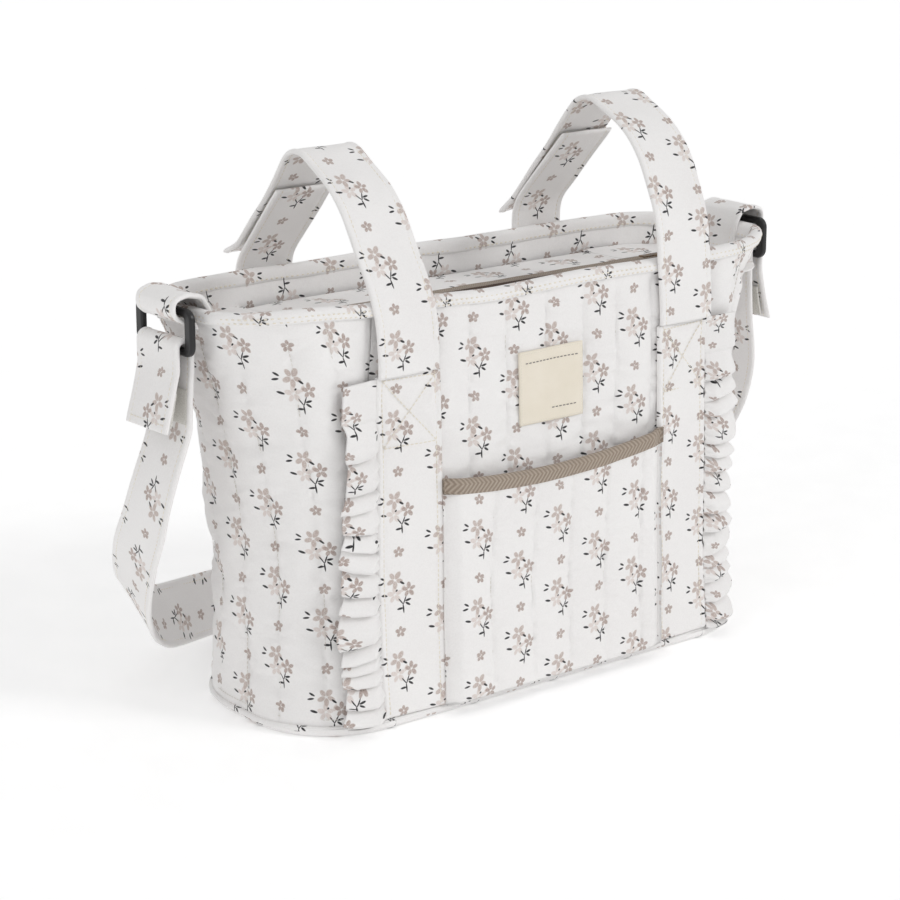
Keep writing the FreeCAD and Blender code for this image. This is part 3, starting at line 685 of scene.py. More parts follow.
PUFF_POWER = 0.36      # the lower, the flatter a channel's top and the steeper its sides
PUFF_SEWN = 0.70       # share of the puff's height that lies below the cloth's middle
PLEAT_PITCH = 15.0     # distance between puckers along a sewn line
PLEAT_DEPTH = 0.95
PLEAT_FADE = 9.0       # how far the puckers reach from the line
BULGE = 0.55
WANDER = 1.3           # how far a sewn line strays from straight


def strayed(v, seed):
    """How far a sewn line lies off its straight course at each height."""
    return ripple(v, v * 0, 170, 60, seed) * WANDER


def quilted(u, v, lines, depth, seed):
    """Relief of a quilted panel: a puffed channel between each two of its sewn lines."""
    lines = np.sort(np.asarray(lines, float))
    place = u - strayed(v, seed)
    after = np.clip(np.searchsorted(lines, place), 1, len(lines) - 1)
    left, right = lines[after - 1], lines[after]
    t = np.clip((place - left) / (right - left), 0, 1)
    near = np.minimum(place - left, right - place)
    near = np.where(t * (1 - t) <= 0, 0, near)
    puff = (4 * t * (1 - t)) ** PUFF_POWER
    pleats = np.sin(2 * math.pi * v / PLEAT_PITCH + 3.2 * ripple(u, v, 60, 45, seed + 1) + left * 0.7)
    pucker = PLEAT_DEPTH * pleats * np.exp(-np.clip(near, 0, None) / PLEAT_FADE)
    bulge = BULGE * ripple(u, v, 48, 34, seed + 2) * puff
    return depth * (puff - PUFF_SEWN) + pucker * smooth(near, 0, 1.5) + bulge


def crumpled(u, v, seed):
    """Soft slanting creases of slack cloth: rounded crests and narrower valleys."""
    crests = 1 - np.abs(np.sin(ripple(u * 0.55 + v * 0.8, v - u * 0.3, 120, 75, seed) * 1.5)) ** 0.8
    strength = smooth(ripple(u, v, 160, 130, seed + 7), -0.9, 0.8)
    return crests * strength


def wall_panel(name, s_of, u_of, columns, lines, depth, seed, material, node, slack=0.0, press=None):
    """One quilted wall: s_of gives the distance round the bag for each share across and height."""
    z = np.linspace(PANEL_LOW, PANEL_HIGH, int((PANEL_HIGH - PANEL_LOW) / STEP) + 1)
    share = np.linspace(0, 1, columns)
    share_grid, z_grid = np.meshgrid(share, z)
    s = s_of(share_grid, z_grid)
    u = u_of(share_grid, z_grid)
    edge = np.minimum(z_grid - PANEL_LOW, PANEL_HIGH - z_grid)
    from_seam = np.minimum(share_grid, 1 - share_grid) * np.abs(s[:, -1:] - s[:, :1])
    relief = quilted(u, z_grid, lines, depth, seed) - slack * crumpled(u, z_grid, seed + 4)
    relief = relief * smooth(edge, -1, 14) * smooth(from_seam, -2, 12) - SEAM_DIP * hump(from_seam, 0, 9)
    if press is not None:
        relief = np.minimum(relief, press(u, z_grid))
    outer, _ = body_points(s, z_grid, relief - 0.6)
    inner, _ = body_points(s, z_grid, -WALL)
    piece = shell(name, outer, inner, map_grid(u, z_grid), material)
    return put(piece, "bag", "printed_cotton", node)


QUILT_STITCH = {"pitch": 3.2, "dash": 2.5, "width": 0.5}


def quilt_lines(name, lines, s_at, low, high, seed, sunk):
    """The sewn lines of a quilted panel."""
    rows = []
    z = np.linspace(low, high, 90)
    for line in lines:
        rows.append(body_points(s_at(line + strayed(z, seed), z), z, sunk))
    return put(stitches(name, rows, WHITE_THREAD, **QUILT_STITCH), "bag", "printed_cotton")


FRONT_LINES = [-101, -68, -36, -2, 30, 59, 92]
BACK_LINES = [-66, -33, 0, 33, 66]
SIDE_LINES = [-96, -62, -28, 6, 40, 74, 104]
PUFF = 4.2
SIDE_SLACK = 3.6       # depth of the side panels' loose folds
LABEL_LOW, LABEL_HIGH = edges_mm("label")
LABEL_SHIFT = -2.5


FREE_RELIEF = 6.0      # highest relief away from the label, and under it
HELD_RELIEF = 0.8


def under_label(x, z):
    """The quilting is held down where the label is sewn on."""
    inside = np.minimum(np.minimum(x - LABEL_LOW[0] - LABEL_SHIFT, LABEL_HIGH[0] + LABEL_SHIFT - x),
                        np.minimum(z - LABEL_LOW[2], LABEL_HIGH[2] - z))
    return FREE_RELIEF + (HELD_RELIEF - FREE_RELIEF) * smooth(inside, -5, 2)


def from_left(t, z):
    """Place across a front panel; the back panel runs the other way."""
    return SEAM_X * (2 * t - 1)


wall_panel("front_wall", lambda t, z: round_to(from_left(t, z), z), from_left,
           241, [-SEAM_X] + FRONT_LINES + [SEAM_X], PUFF, 21, PRINT_FRONT, "front_panel", 0.6, under_label)
wall_panel("back_wall", lambda t, z: round_to(-from_left(t, z), z, True), lambda t, z: -from_left(t, z),
           161, [-SEAM_X, -99] + BACK_LINES + [99, SEAM_X], PUFF, 31, PRINT_BACK, "back_panel")


def side_run(hand):
    """For one end of the bag: distance round the bag, and place across the side panel's cloth."""
    def s_of(t, z):
        start = round_to(hand * SEAM_X, z)
        end = round_to(hand * SEAM_X, z, True)
        return start + (end - start) * t

    def u_of(t, z):
        start = round_to(hand * SEAM_X, z)
        end = round_to(hand * SEAM_X, z, True)
        return (end - start) * (t - 0.5)

    def s_at(u, z):
        start = round_to(hand * SEAM_X, z)
        end = round_to(hand * SEAM_X, z, True)
        return (start + end) / 2 + u

    return s_of, u_of, s_at


for hand, word, material in ((-1, "left", PRINT_LEFT), (1, "right", PRINT_RIGHT)):
    s_of, u_of, s_at = side_run(hand)
    wall_panel(word + "_side_wall", s_of, u_of, 125, [-150] + SIDE_LINES + [150], PUFF * 0.7, 41 + hand,
               material, word + "_side_panel", SIDE_SLACK)
    quilt_lines(word + "_side_quilting", SIDE_LINES, s_at, 12, 268, 41 + hand, -2.5)
quilt_lines("front_quilting", FRONT_LINES[1:-1], lambda u, z: round_to(u, z), 160, 269, 21, -3.1)
quilt_lines("back_quilting", BACK_LINES, lambda u, z: round_to(u, z, True), 12, 268, 31, -3.1)


# ---- bottom, piping, hem, facing and lining ---------------------------------------------


def wrapped_places(count, along, length):
    """Cloth places for a loop, with one more column than the loop has points."""
    return map_grid(np.linspace(0, length, count + 1), along)


LOOP = 620


def ring_section(name, section, material, seed=0, uneven=0.0):
    """A closed tube round the bag: its cross-section's last point joins its first."""
    section = np.array(section, float)
    share = np.linspace(-1, 1, LOOP, endpoint=False)
    z = section[:, 1][:, None] + 0 * share
    s = share * girth(z)
    flat, out = on_body(s, z, 0.0 * s)
    wobble = ripple(s, z * 0, 60, 60, seed) * uneven
    points = flat + slouch(flat) + out * (section[:, 0][:, None] + wobble)[..., None]
    rows = len(section)
    run = np.concatenate([[0], np.cumsum(np.linalg.norm(np.diff(section, axis=0), axis=1))])
    run = np.append(run, run[-1] + np.linalg.norm(section[0] - section[-1]))
    around = 2 * girth(np.array(280.0))
    i, j = np.meshgrid(np.arange(rows), np.arange(LOOP), indexing="ij")
    i, j = i.ravel(), j.ravel()
    k, m = (j + 1) % LOOP, (i + 1) % rows
    faces = np.stack([i * LOOP + j, i * LOOP + k, m * LOOP + k, m * LOOP + j], 1)
    across = np.stack([j, j + 1, j + 1, j], 1) * around / LOOP
    along = np.stack([run[i], run[i], run[i + 1], run[i + 1]], 1)
    return mesh_object(name, points.reshape(-1, 3), faces, np.stack([across, along], -1), material)


def arc(centre, radius, first, last, count):
    """Points (lift, height) along an arc, angles in degrees from outwards towards up."""
    turns = np.radians(np.linspace(first, last, count))
    return [(centre[0] + radius[0] * math.cos(t), centre[1] + radius[1] * math.sin(t)) for t in turns]


HEM_SECTION = (
    [(-0.6, 272.6), (0.9, 272.9), (1.5, 274.4), (1.3, 276.5)]
    + arc((-4.2, 276.8), (5.2, 4.2), 15, 165, 9)
    + [(-9.6, 276.0), (-9.8, 273.5), (-9.5, 271.4), (-8.4, 271.0)]
    + [(-7.6, 273.5), (-4.4, 275.5), (-1.4, 273.5)]
)
FACING_SECTION = [(-8.6, 249.0), (-8.0, 252.0), (-8.0, 271.0), (-8.5, 272.4), (-9.2, 271.0), (-9.2, 256.0),
                  (-9.4, 250.0)]
PIPING_SECTION = arc((0.0, 5.4), (1.9, 2.0), -80, 260, 14)
hem = ring_section("rim_fold", HEM_SECTION, PRINT_TRIM, 51, 0.5)
put(hem, "bag", "printed_cotton", "rim_hem")

around = np.linspace(-1, 1, 500)
hem_rows = []
for height, lift, outward in ((274.3, 1.35, 1), (277.0, 1.1, 1), (273.4, -9.75, -1)):
    level = np.full(around.shape, height)
    points, out = body_points(around * girth(level), level, lift)
    hem_rows.append((points, out * outward))
put(stitches("rim_stitching", hem_rows, CREAM_THREAD, pitch=4.2, dash=2.2, width=1.1, sunk=0.0),
    "bag", "printed_cotton")

facing = ring_section("rim_inside", FACING_SECTION, PRINT_TRIM, 52, 0.3)
put(facing, "bag", "printed_cotton", "rim_facing")

piping = ring_section("bottom_seam_roll", PIPING_SECTION, PRINT_TRIM, 53, 0.25)
put(piping, "bag", "printed_cotton", "bottom_piping")

level = np.full(around.shape, 11.5)
put(stitches("bottom_stitching", [body_points(around * girth(level), level, -0.7)], WHITE_THREAD,
             pitch=3.0, dash=2.3, width=0.5), "bag", "printed_cotton")

BOTTOM_EDGE = ((0.0, 5.9), (0.0, 4.2), (-0.5, 2.6), (-1.8, 1.2), (-3.8, 0.3), (-6.5, 0.0))     # lift, height


def bottom():
    """The bag's underside: a quilted slab whose lower edge is rolled."""
    share = np.linspace(-1, 1, LOOP, endpoint=False)
    rows = []
    for lift, z in BOTTOM_EDGE:
        level = np.full(share.shape, z)
        rows.append(on_body(share * girth(level), level, lift)[0])
    rim = rows[-1]
    for part in np.linspace(0.94, 0.0, 36):
        inner = rim * [part, part, 1]
        inner[:, 2] = 0.25 * (1 - np.cos(inner[:, 0] / 14.0)) * smooth(part, 1.0, 0.8)
        rows.append(inner)
    for part in np.linspace(0.0, 1.0, 12):
        top = rows[0] * [part, part, 1]
        top[:, 2] = 6.0
        rows.append(top)
    points = np.stack(rows)
    places = np.concatenate([points[:, :, :2], points[:, :1, :2]], 1)
    return single("bottom_slab", points, places, PRINT_BACK, wrap=True)


base = bottom()
put(base, "bag", "printed_cotton", "bottom_panel")


def lining_cup():
    """The lining: walls down to the floor, then in to its middle."""
    share = np.linspace(-1, 1, 360, endpoint=False)
    rows = []
    for z in np.linspace(251.5, 15.0, 60):
        level = np.full(share.shape, z)
        flat, out = on_body(share * girth(level), level, 0.0 * share)
        sag = ripple(share * 600, level, 90, 120, 61) * 0.25
        rows.append(flat + slouch(flat) + out * (-8.9 + sag)[..., None])
    corner = rows[-1]
    for part, z in ((0.99, 12.4), (0.97, 10.9), (0.93, 10.3)):
        rows.append(np.stack([corner[:, 0] * part, corner[:, 1] * part, 0 * share + z], -1))
    for part in np.linspace(0.85, 0.0, 20):
        x, y = corner[:, 0] * part, corner[:, 1] * part
        rows.append(np.stack([x, y, 10.2 + 0.25 * ripple(x, y, 60, 60, 62)], -1))
    points = np.stack(rows)
    runs = np.concatenate([[0], np.cumsum(np.linalg.norm(np.diff(points[:, 0], axis=0), axis=1))])
    return single("lining_cloth", points, wrapped_places(360, runs, 1180), LINING, wrap=True)


lining = lining_cup()
put(lining, "bag", "lining_cotton", "lining")


# ---- pocket, tape, label, bands ---------------------------------------------------------

POCKET = 97.0
POCKET_LOW = 8.0
POCKET_TOP = 160.0
POCKET_LINES = [-58, -23, 9.5, 42, 75]
POCKET_LIFT = 7.4


def front_patch(name, x_span, z_span, outside, inside, material, relief, sag=None, x_step=2.0, z_step=2.0,
                edge=1.6, back=False, open_top=False, follow=0.0):
    """A piece of cloth on the front or the back; outside and inside are its faces' lifts."""
    x = np.linspace(*x_span, int((x_span[1] - x_span[0]) / x_step) + 1)
    z = np.linspace(*z_span, int((z_span[1] - z_span[0]) / z_step) + 1)
    if back:
        x = x[::-1]
    x_grid, z_grid = np.meshgrid(x, z)
    from_top = z_span[1] - z_grid + (edge if open_top else 0)
    from_side = np.minimum(x_grid - x_span[0], x_span[1] - x_grid)
    from_edge = np.minimum(from_side, np.minimum(z_grid - z_span[0], from_top))
    roll = rounded_edge(from_edge + 0.15, edge)
    bump = relief(x_grid, z_grid)
    z_real = z_grid if sag is None else z_grid + sag(x_grid, z_grid)
    middle = (outside + inside) / 2
    half = (outside - inside) / 2
    outer, _ = on_face(x_grid, z_real, middle + half * roll + bump * roll, back)
    inner, _ = on_face(x_grid, z_real, middle - half * roll + follow * bump * roll, back)
    return shell(name, outer, inner, map_grid(x_grid, z_grid), material)


def pocket_sag(x, z):
    """The pocket's top edge hangs a little in its middle."""
    return smooth(z, 40, 160) * (3.8 * (x / POCKET) ** 2 + 1.0 * x / POCKET - 3.0 * (1 - (x / POCKET) ** 2))


def tucked(x):
    """The pocket's sides come down to the wall, where they are sewn under the bands."""
    return -(POCKET_LIFT - 1.6) * smooth(np.abs(x), POCKET - 13, POCKET - 1)


def pocket_fill(x, z):
    """The pocket stands off a little towards the middle of its top."""
    return smooth(z, 60, 158) * (1 - (x / POCKET) ** 2)


def pocket_relief(x, z):
    puffed = quilted(x, z, [-POCKET] + POCKET_LINES + [POCKET], 3.2, 71) - 0.6 * crumpled(x, z, 75)
    fade = smooth(POCKET - np.abs(x), 0, 10) * smooth(z, 6, 20) * (1 - 0.6 * smooth(z, 138, 152))
    return puffed * fade + pocket_fill(x, z) + tucked(x)


pocket = front_patch("pocket_cloth", (-POCKET, POCKET), (POCKET_LOW, POCKET_TOP - 1), POCKET_LIFT + 0.6,
                     POCKET_LIFT - 1.4, PRINT_POCKET, pocket_relief, pocket_sag, 1.2, 1.8, follow=0.85)
put(pocket, "bag", "printed_cotton", "pocket_panel")

z = np.linspace(10, 148, 80)
rows = []
for line in POCKET_LINES:
    x = line + strayed(z, 71)
    rows.append(on_face(x, z + pocket_sag(x, z), POCKET_LIFT - 1.4 + pocket_fill(x, z)))
put(stitches("pocket_quilting", rows, WHITE_THREAD, **QUILT_STITCH), "bag", "printed_cotton")


def tape_relief(x, z):
    return (1 - (x / POCKET) ** 2) + 0.25 * ripple(x, z, 26, 40, 72) + 0.85 * tucked(x)


tape = front_patch("pocket_edge_tape", (-POCKET, POCKET), (149.0, 159.5), POCKET_LIFT + 1.9,
                   POCKET_LIFT - 1.9, TAPE, tape_relief, pocket_sag, 1.4, 0.8, edge=1.4, follow=1.0)
put(tape, "bag", "taupe_tape", "pocket_tape")
tape_rows = []
for height in (150.6, 157.9):
    x = np.linspace(-POCKET + 1, POCKET - 1, 160)
    level = height + pocket_sag(x, np.full(x.shape, height))
    tape_rows.append(on_face(x, level, POCKET_LIFT + 1.8 + tape_relief(x, level)))
put(stitches("tape_stitching", tape_rows, TAUPE_THREAD, pitch=2.8, dash=2.1, width=0.4), "bag", "taupe_tape")


def label_relief(x, z):
    return 0.35 * ripple(x, z, 40, 50, 73)


label = front_patch("cloth_label", (LABEL_LOW[0] + LABEL_SHIFT, LABEL_HIGH[0] + LABEL_SHIFT),
                    (LABEL_LOW[2], LABEL_HIGH[2]), 2.4, 0.9, LABEL,
                    label_relief, x_step=1.2, z_step=1.2, edge=0.9)
put(label, "bag", "label_cotton", "label")


def label_row(x0, z0, x1, z1):
    """A straight row on the label."""
    x = np.linspace(x0, x1, 40)
    z = np.linspace(z0, z1, 40)
    return on_face(x, z, 2.42 + label_relief(x, z))


left, right = LABEL_LOW[0] + LABEL_SHIFT + 1.6, LABEL_HIGH[0] + LABEL_SHIFT - 1.6
low, high = LABEL_LOW[2] + 1.6, LABEL_HIGH[2] - 1.6
put(stitches("label_edge_stitching", [label_row(left, low, right, low), label_row(left, high, right, high),
                                      label_row(left, low, left, high), label_row(right, low, right, high)],
             CREAM_THREAD, pitch=2.0, dash=1.5, width=0.4, sunk=0.05), "bag", "label_cotton")
put(stitches("label_dashes", [label_row(left + 3, high - 6.5, right - 2, high - 6.5),
                              label_row(right - 26, low + 7.0, right - 3, low + 7.0)],
             TAUPE_THREAD, pitch=3.1, dash=2.3, width=0.75, sunk=0.0), "bag", "label_cotton")

BAND_TOP = edges_mm("front_band_left")[1][2]
BAND_INNER = 97.0
BAND_OUTER = 145.0
BAND_LIFT = 2.9
BAND_OVER_POCKET = 1.8
STITCH_INSET = 4.8
CORD_INSET = 1.9
BOX_DEEP = 46.0        # how far the stitched box reaches below the band's top
BOX_INSET = 2.5


def corded(from_edge):
    """The folded edge of a strap stands up like a cord, with a groove along its seam."""
    return 0.85 * hump(from_edge, CORD_INSET, 1.5) - 0.45 * hump(from_edge, STITCH_INSET, 1.0)


def band(name, hand, back, material, node):
    """One band of a handle, sewn flat on the front or the back."""
    inner = BAND_INNER - BAND_OVER_POCKET
    span = (inner, BAND_OUTER) if hand > 0 else (-BAND_OUTER, -inner)
    box_low, box_high = BAND_TOP - BOX_DEEP, BAND_TOP - BOX_INSET

    def relief(x, z):
        across = np.minimum(x - span[0], span[1] - x)
        share = np.clip((z - box_low) / (box_high - box_low), 0, 1)
        half = (span[1] - span[0]) / 2 - STITCH_INSET
        place = (x - (span[0] + span[1]) / 2) / half
        from_cross = np.minimum(np.abs(place - (2 * share - 1)), np.abs(place + (2 * share - 1))) * half * 0.7
        boxed = smooth(np.minimum(z - box_low, box_high - z), 0, 4)
        boxed = boxed * smooth(across, STITCH_INSET, STITCH_INSET + 4)
        uneven = 0.5 * ripple(x, z, 60, 48, 80 + hand) * smooth(across, 0, 8)
        return uneven + corded(across) + boxed * (1.5 * smooth(from_cross, 0.3, 7) - 0.4)

    piece = front_patch(name, span, (POCKET_LOW, BAND_TOP), BAND_LIFT, -0.4, material, relief, x_step=1.2,
                        edge=2.0, back=back, open_top=True)
    put(piece, "bag", "printed_strap", node)
    left, right = span[0] + STITCH_INSET, span[1] - STITCH_INSET
    z = np.linspace(POCKET_LOW + 2, BAND_TOP, 120)
    rows = [on_face(np.full(z.shape, x), z, BAND_LIFT - 0.35, back) for x in (left, right)]
    corners = [((left, box_low), (right, box_low)), ((left, box_high), (right, box_high)),
               ((left, box_low), (right, box_high)), ((left, box_high), (right, box_low))]
    for (x0, z0), (x1, z1) in corners:
        x = np.linspace(x0, x1, 40)
        z = np.linspace(z0, z1, 40)
        rows.append(on_face(x, z, BAND_LIFT + 0.15, back))
    threads = stitches(name + "_stitching", rows, CREAM_THREAD, pitch=3.3, dash=2.4, width=0.75, sunk=0.05)
    return put(threads, "bag", "printed_strap")


for back, face in ((False, "front"), (True, "back")):
    for hand, word, material in ((-1, "left", PRINT_BAND_LEFT), (1, "right", PRINT_BAND_RIGHT)):
        band(face + "_band_cloth_" + word, hand, back, material, face + "_band_" + word)


# ---- ruffles ----------------------------------------------------------------------------

RUFFLE_WIDTH = 29.0
RUFFLE_FLAT = 27.0
RUFFLE_TAPER = 5.0     # how much narrower the gathered part is than the flat top
GATHER = 19.0          # distance between the gathers at the top; each next one is closer
GATHER_SHRINK = 0.92
GATHER_LEAST = 13.0
GATHER_SHARES = [0.62, 0.85, 1.1, 1.35]
FULLNESS = 1.5         # length of cloth for each length of seam


def ruffle(name, hand, seed, material, node):
    """A gathered strip along a band's outer edge: flat and folded at its top, rolled folds below."""
    chance = np.random.default_rng(seed)
    knots = [BAND_TOP - RUFFLE_FLAT]
    gap = GATHER
    while knots[-1] > POCKET_LOW:
        knots.append(knots[-1] - gap * chance.choice(GATHER_SHARES))
        gap = max(GATHER_LEAST, gap * GATHER_SHRINK)
    knots = np.array(knots[::-1])
    z = np.arange(POCKET_LOW, BAND_TOP, 0.7)
    across = np.linspace(0, 1, 40)
    t, z_grid = np.meshgrid(across, z)
    gathered = 1 - smooth(z_grid, BAND_TOP - RUFFLE_FLAT - 3, BAND_TOP - RUFFLE_FLAT + 3)
    slope = (5.0 * np.sin(z_grid / 19.0 + seed) + 2.0 * np.sin(z_grid / 7.3) - 2.0) * t * gathered
    phase = np.interp(z_grid + slope, knots, np.arange(len(knots)))
    strength = np.interp(phase, np.arange(len(knots)) + 0.5, chance.uniform(0.6, 1.15, len(knots)))
    part = phase - np.floor(phase)
    roll = np.sin(math.pi * part ** 0.85) ** 0.7
    crease = np.exp(-(np.minimum(part, 1 - part) / 0.07) ** 2)
    pleat = np.sin(4 * math.pi * phase + 2.0 * np.sin(z_grid / 9.0 + seed)) * (1 - smooth(t, 0.05, 0.45))
    rise = smooth(t, -0.05, 0.30) * (1 - 0.30 * smooth(t, 0.7, 1.0))
    lift = 2.2 + 2.0 * t + strength * roll * (1.5 + 6.4 * rise) - 2.0 * crease + 1.2 * pleat
    flat = 2.6 + 3.6 * t + 0.6 * np.sin(z_grid / 11.0 + 2 * t) * t
    lift = lift * gathered + flat * (1 - gathered)
    scallop = 0.15 * strength * roll - 0.07 + 0.04 * np.sin(phase * 2.3 + seed)
    reach = (RUFFLE_WIDTH - RUFFLE_TAPER * gathered) * (1 + gathered * scallop)
    x = hand * (BAND_OUTER - 0.5 + reach * t)
    hang = gathered * strength * roll * (3.6 * rise + 2.0 * t)
    z_real = np.clip(z_grid - hang, POCKET_LOW - 1, BAND_TOP)
    body_lift = np.clip(lift, 0.9, 11.0)
    points, _ = on_face(x, z_real, body_lift)
    under, _ = on_face(x, z_real, np.clip(body_lift - 1.1, 0.1, 9.9))
    run = np.concatenate([[0], np.cumsum(np.abs(np.diff(z)) * FULLNESS)])
    piece = shell(name, points, under, map_grid(hand * across * RUFFLE_WIDTH, run), material)
    return put(piece, "bag", "printed_cotton", node)


for hand, word, seed in ((-1, "left", 5), (1, "right", 8)):
    ruffle("ruffle_cloth_" + word, hand, seed, PRINT_TRIM, "ruffle_" + word)


# ---- straps -----------------------------------------------------------------------------


def rounded_line(points, radii, step=1.5):
    """Points along straight runs joined by arcs of the given radii, at even steps."""
    points = [np.array(point, float) for point in points]
    line = [points[0]]
    for before, corner, after, radius in zip(points, points[1:], points[2:], radii):
        arriving = (corner - before) / np.linalg.norm(corner - before)
        leaving = (after - corner) / np.linalg.norm(after - corner)
        turn = math.acos(np.clip(arriving @ leaving, -1, 1))
        cut = radius * math.tan(turn / 2)
        start, end = corner - arriving * cut, corner + leaving * cut
        inward = (leaving - arriving) / np.linalg.norm(leaving - arriving)
        centre = corner + inward * radius / math.cos(turn / 2)
        count = max(4, int(radius * turn / step))
        for share in np.linspace(0, 1, count):
            spot = start * (1 - share) + end * share - centre
            line.append(centre + spot / np.linalg.norm(spot) * radius)
    line.append(points[-1])
    line = np.array(line)
    far = np.concatenate([[0], np.cumsum(np.linalg.norm(np.diff(line, axis=0), axis=1))])
    at = np.linspace(0, far[-1], int(far[-1] / step) + 1)
    return np.stack([np.interp(at, far, line[:, i]) for i in range(line.shape[1])], -1)


def softened(line, passes=6):
    """The same line with its small kinks eased."""
    line = line.copy()
    for _ in range(passes):
        line[1:-1] = line[1:-1] * 0.5 + (line[:-2] + line[2:]) * 0.25
    return line


STRAP_WIDTH = 46.0
STRAP_THICK = 2.6
STRAP_EDGE = 1.7       # radius of a strap's rolled edge


def ribbon(name, centre, side, material, seed, width=STRAP_WIDTH, thick=STRAP_THICK, start=(0.0, 0.0),
           mirror=False, open_foot=False):
    """A strap along a centre line; side is the direction of its width at each point."""
    heading = np.gradient(centre, axis=0)
    heading /= np.linalg.norm(heading, axis=1)[:, None]
    side = side - heading * np.sum(side * heading, axis=1)[:, None]
    side /= np.linalg.norm(side, axis=1)[:, None]
    out = np.cross(heading, side)
    across = np.linspace(-1, 1, 41)
    far = np.concatenate([[0], np.cumsum(np.linalg.norm(np.diff(centre, axis=0), axis=1))])
    a_grid, f_grid = np.meshgrid(across, far)
    from_edge = (1 - np.abs(a_grid)) * width / 2
    end = np.minimum(f_grid + (30 if open_foot else 0), far[-1] - f_grid)
    roll = rounded_edge(np.minimum(from_edge, end) + 0.15, STRAP_EDGE)
    seam = 0.6 * corded(from_edge)
    bump = 0.22 * ripple(a_grid * width / 2, f_grid, 42, 36, seed) + 0.35 * (1 - a_grid ** 2)
    wave = 0.45 * ripple(a_grid * width / 2, f_grid, 90, 70, seed + 1) * smooth(end, 0, 20)
    half = thick / 2
    base = centre[:, None] + side[:, None] * (a_grid * width / 2)[..., None]
    outer = base + out[:, None] * ((half + seam + bump) * roll + wave)[..., None]
    inner = base + out[:, None] * ((-half - seam - bump * 0.4) * roll + wave)[..., None]
    turned = -1 if mirror else 1
    places = map_grid(a_grid * width / 2 * turned + start[0], f_grid + start[1])
    piece = shell(name, outer, inner, places, material)
    rows = []
    for edge in (-1, 1):
        share = 1 - STITCH_INSET / (width / 2)
        row_base = centre + side * edge * share * width / 2
        wave_row = 0.45 * ripple(np.full(far.shape, edge * share * width / 2), far, 90, 70, seed + 1)
        wave_row = wave_row * smooth(np.minimum(far, far[-1] - far), 0, 20)
        rows.append((row_base + out * (half + wave_row - 0.2)[:, None], out))
        rows.append((row_base + out * (-half + wave_row + 0.2)[:, None], -out))
    ends = (far[-1] - STITCH_INSET,) if open_foot else (STITCH_INSET, far[-1] - STITCH_INSET)
    for at in ends:
        index = int(np.clip(np.searchsorted(far, at), 1, len(far) - 2))
        share = np.linspace(-0.8, 0.8, 30)
        row = centre[index] + side[index] * (share * width / 2)[:, None] + out[index] * (half + 0.3)
        rows.append((row, np.repeat(out[index][None], 30, 0)))
    threads = stitches(name + "_stitching", rows, CREAM_THREAD, pitch=3.3, dash=2.4, width=0.7, sunk=0.05)
    return piece, threads


ARCHES = {
    # (y, z) corners of each front handle's middle line, from its foot over the top to its end
    "left": [(-78.4, 234.3), (-81.0, 283.0), (-44.0, 345.0), (6.0, 374.0), (74.0, 298.0), (91.0, 290.0)],
    "right": [(-78.4, 234.3), (-79.0, 308.0), (-54.0, 362.0), (0.0, 388.0), (82.0, 301.0), (94.0, 291.0)],
}
ARCH_TURNS = [70.0, 75.0, 22.0, 18.0]
PATCH_SPACING = 5.4
BACK_START = 42.0
ELBOW_LEAN = 1.0
HANDLE_SWAY = 6.0      # how far each arch leans to the left between its ends


def handle(hand, word, seed):
    """A handle's long front strap and its short back strap."""
    x = hand * (BAND_INNER + BAND_OUTER) / 2
    arch = rounded_line(ARCHES[word], ARCH_TURNS)
    arch = softened(arch)
    share = np.linspace(0, 1, len(arch))
    sway = HANDLE_SWAY * smooth(share, 0.0, 0.26) * (1 - smooth(share, 0.5, 0.82))
    centre = np.column_stack([x - sway, arch])
    across = np.tile([1.0, 0, 0], (len(arch), 1))
    across = across + np.array([0, 0.10 * hand, 0.05]) * smooth(share, 0.75, 1.0)[:, None]
    material = PRINT_BAND_LEFT if hand < 0 else PRINT_BAND_RIGHT
    piece, threads = ribbon("handle_strap_" + word, centre, -across, material, seed,
                            BAND_OUTER - BAND_INNER, start=(x, BAND_TOP), mirror=True, open_foot=True)
    put(piece, "handle_" + word, "printed_strap", "handle_front_" + word)
    put(threads, "handle_" + word, "printed_strap")

    start = np.array(ARCHES[word][3])
    run = np.array(ARCHES[word][4]) - start
    run /= np.linalg.norm(run)
    outward = np.array([-run[1], run[0]])
    line = start - outward * PATCH_SPACING
    foot = np.array([-ARCHES[word][0][0], ARCHES[word][0][1]])
    elbow = line + run * ((foot[0] + ELBOW_LEAN - line[0]) / run[0])
    top = line + run * BACK_START
    back = softened(rounded_line([foot, elbow, top], [28.0]))
    centre = np.column_stack([np.full(len(back), x), back])
    across = np.tile([1.0, 0, 0], (len(back), 1))
    piece, threads = ribbon("handle_back_strap_" + word, centre, across, PRINT_STRAP, seed + 3,
                            start=(4.0, 0.0))
    put(piece, "bag", "printed_strap", "handle_back_" + word)
    put(threads, "bag", "printed_strap")


handle(-1, "left", 91)
handle(1, "right", 95)

RING_X = 249.0
RING_Y = 3.0
RING_TOP = 281.5
RING_PITCH = 25.0
LOOP_RADIUS = 4.7
LOOP_SLACK = 1.0       # outward play of the fold around the bar
LOOP_RISE = 5.0        # height of the fold's outer side
LOOP_CLOSE = 0.3       # height of its inner side, which passes close under the tab


TAB_LINE = [
    # (x off the ring's middle, z) from inside the rim, over the ring's upper bar, back to the wall
    (-24.0, 259.0), (-19.5, 281.0), (-14.5, 289.5), (-3.0, 292.0), (7.0, 289.0), (7.0, 280.0), (1.6, 275.8),
    (-7.2, 274.4), (-9.8, 269.6),
]
TAB_TURNS = [5, 6, 8, 5.0, 4.2, 3.2, 5]
TAB_WIDTH = 44.0
TAB_THICK = 2.2


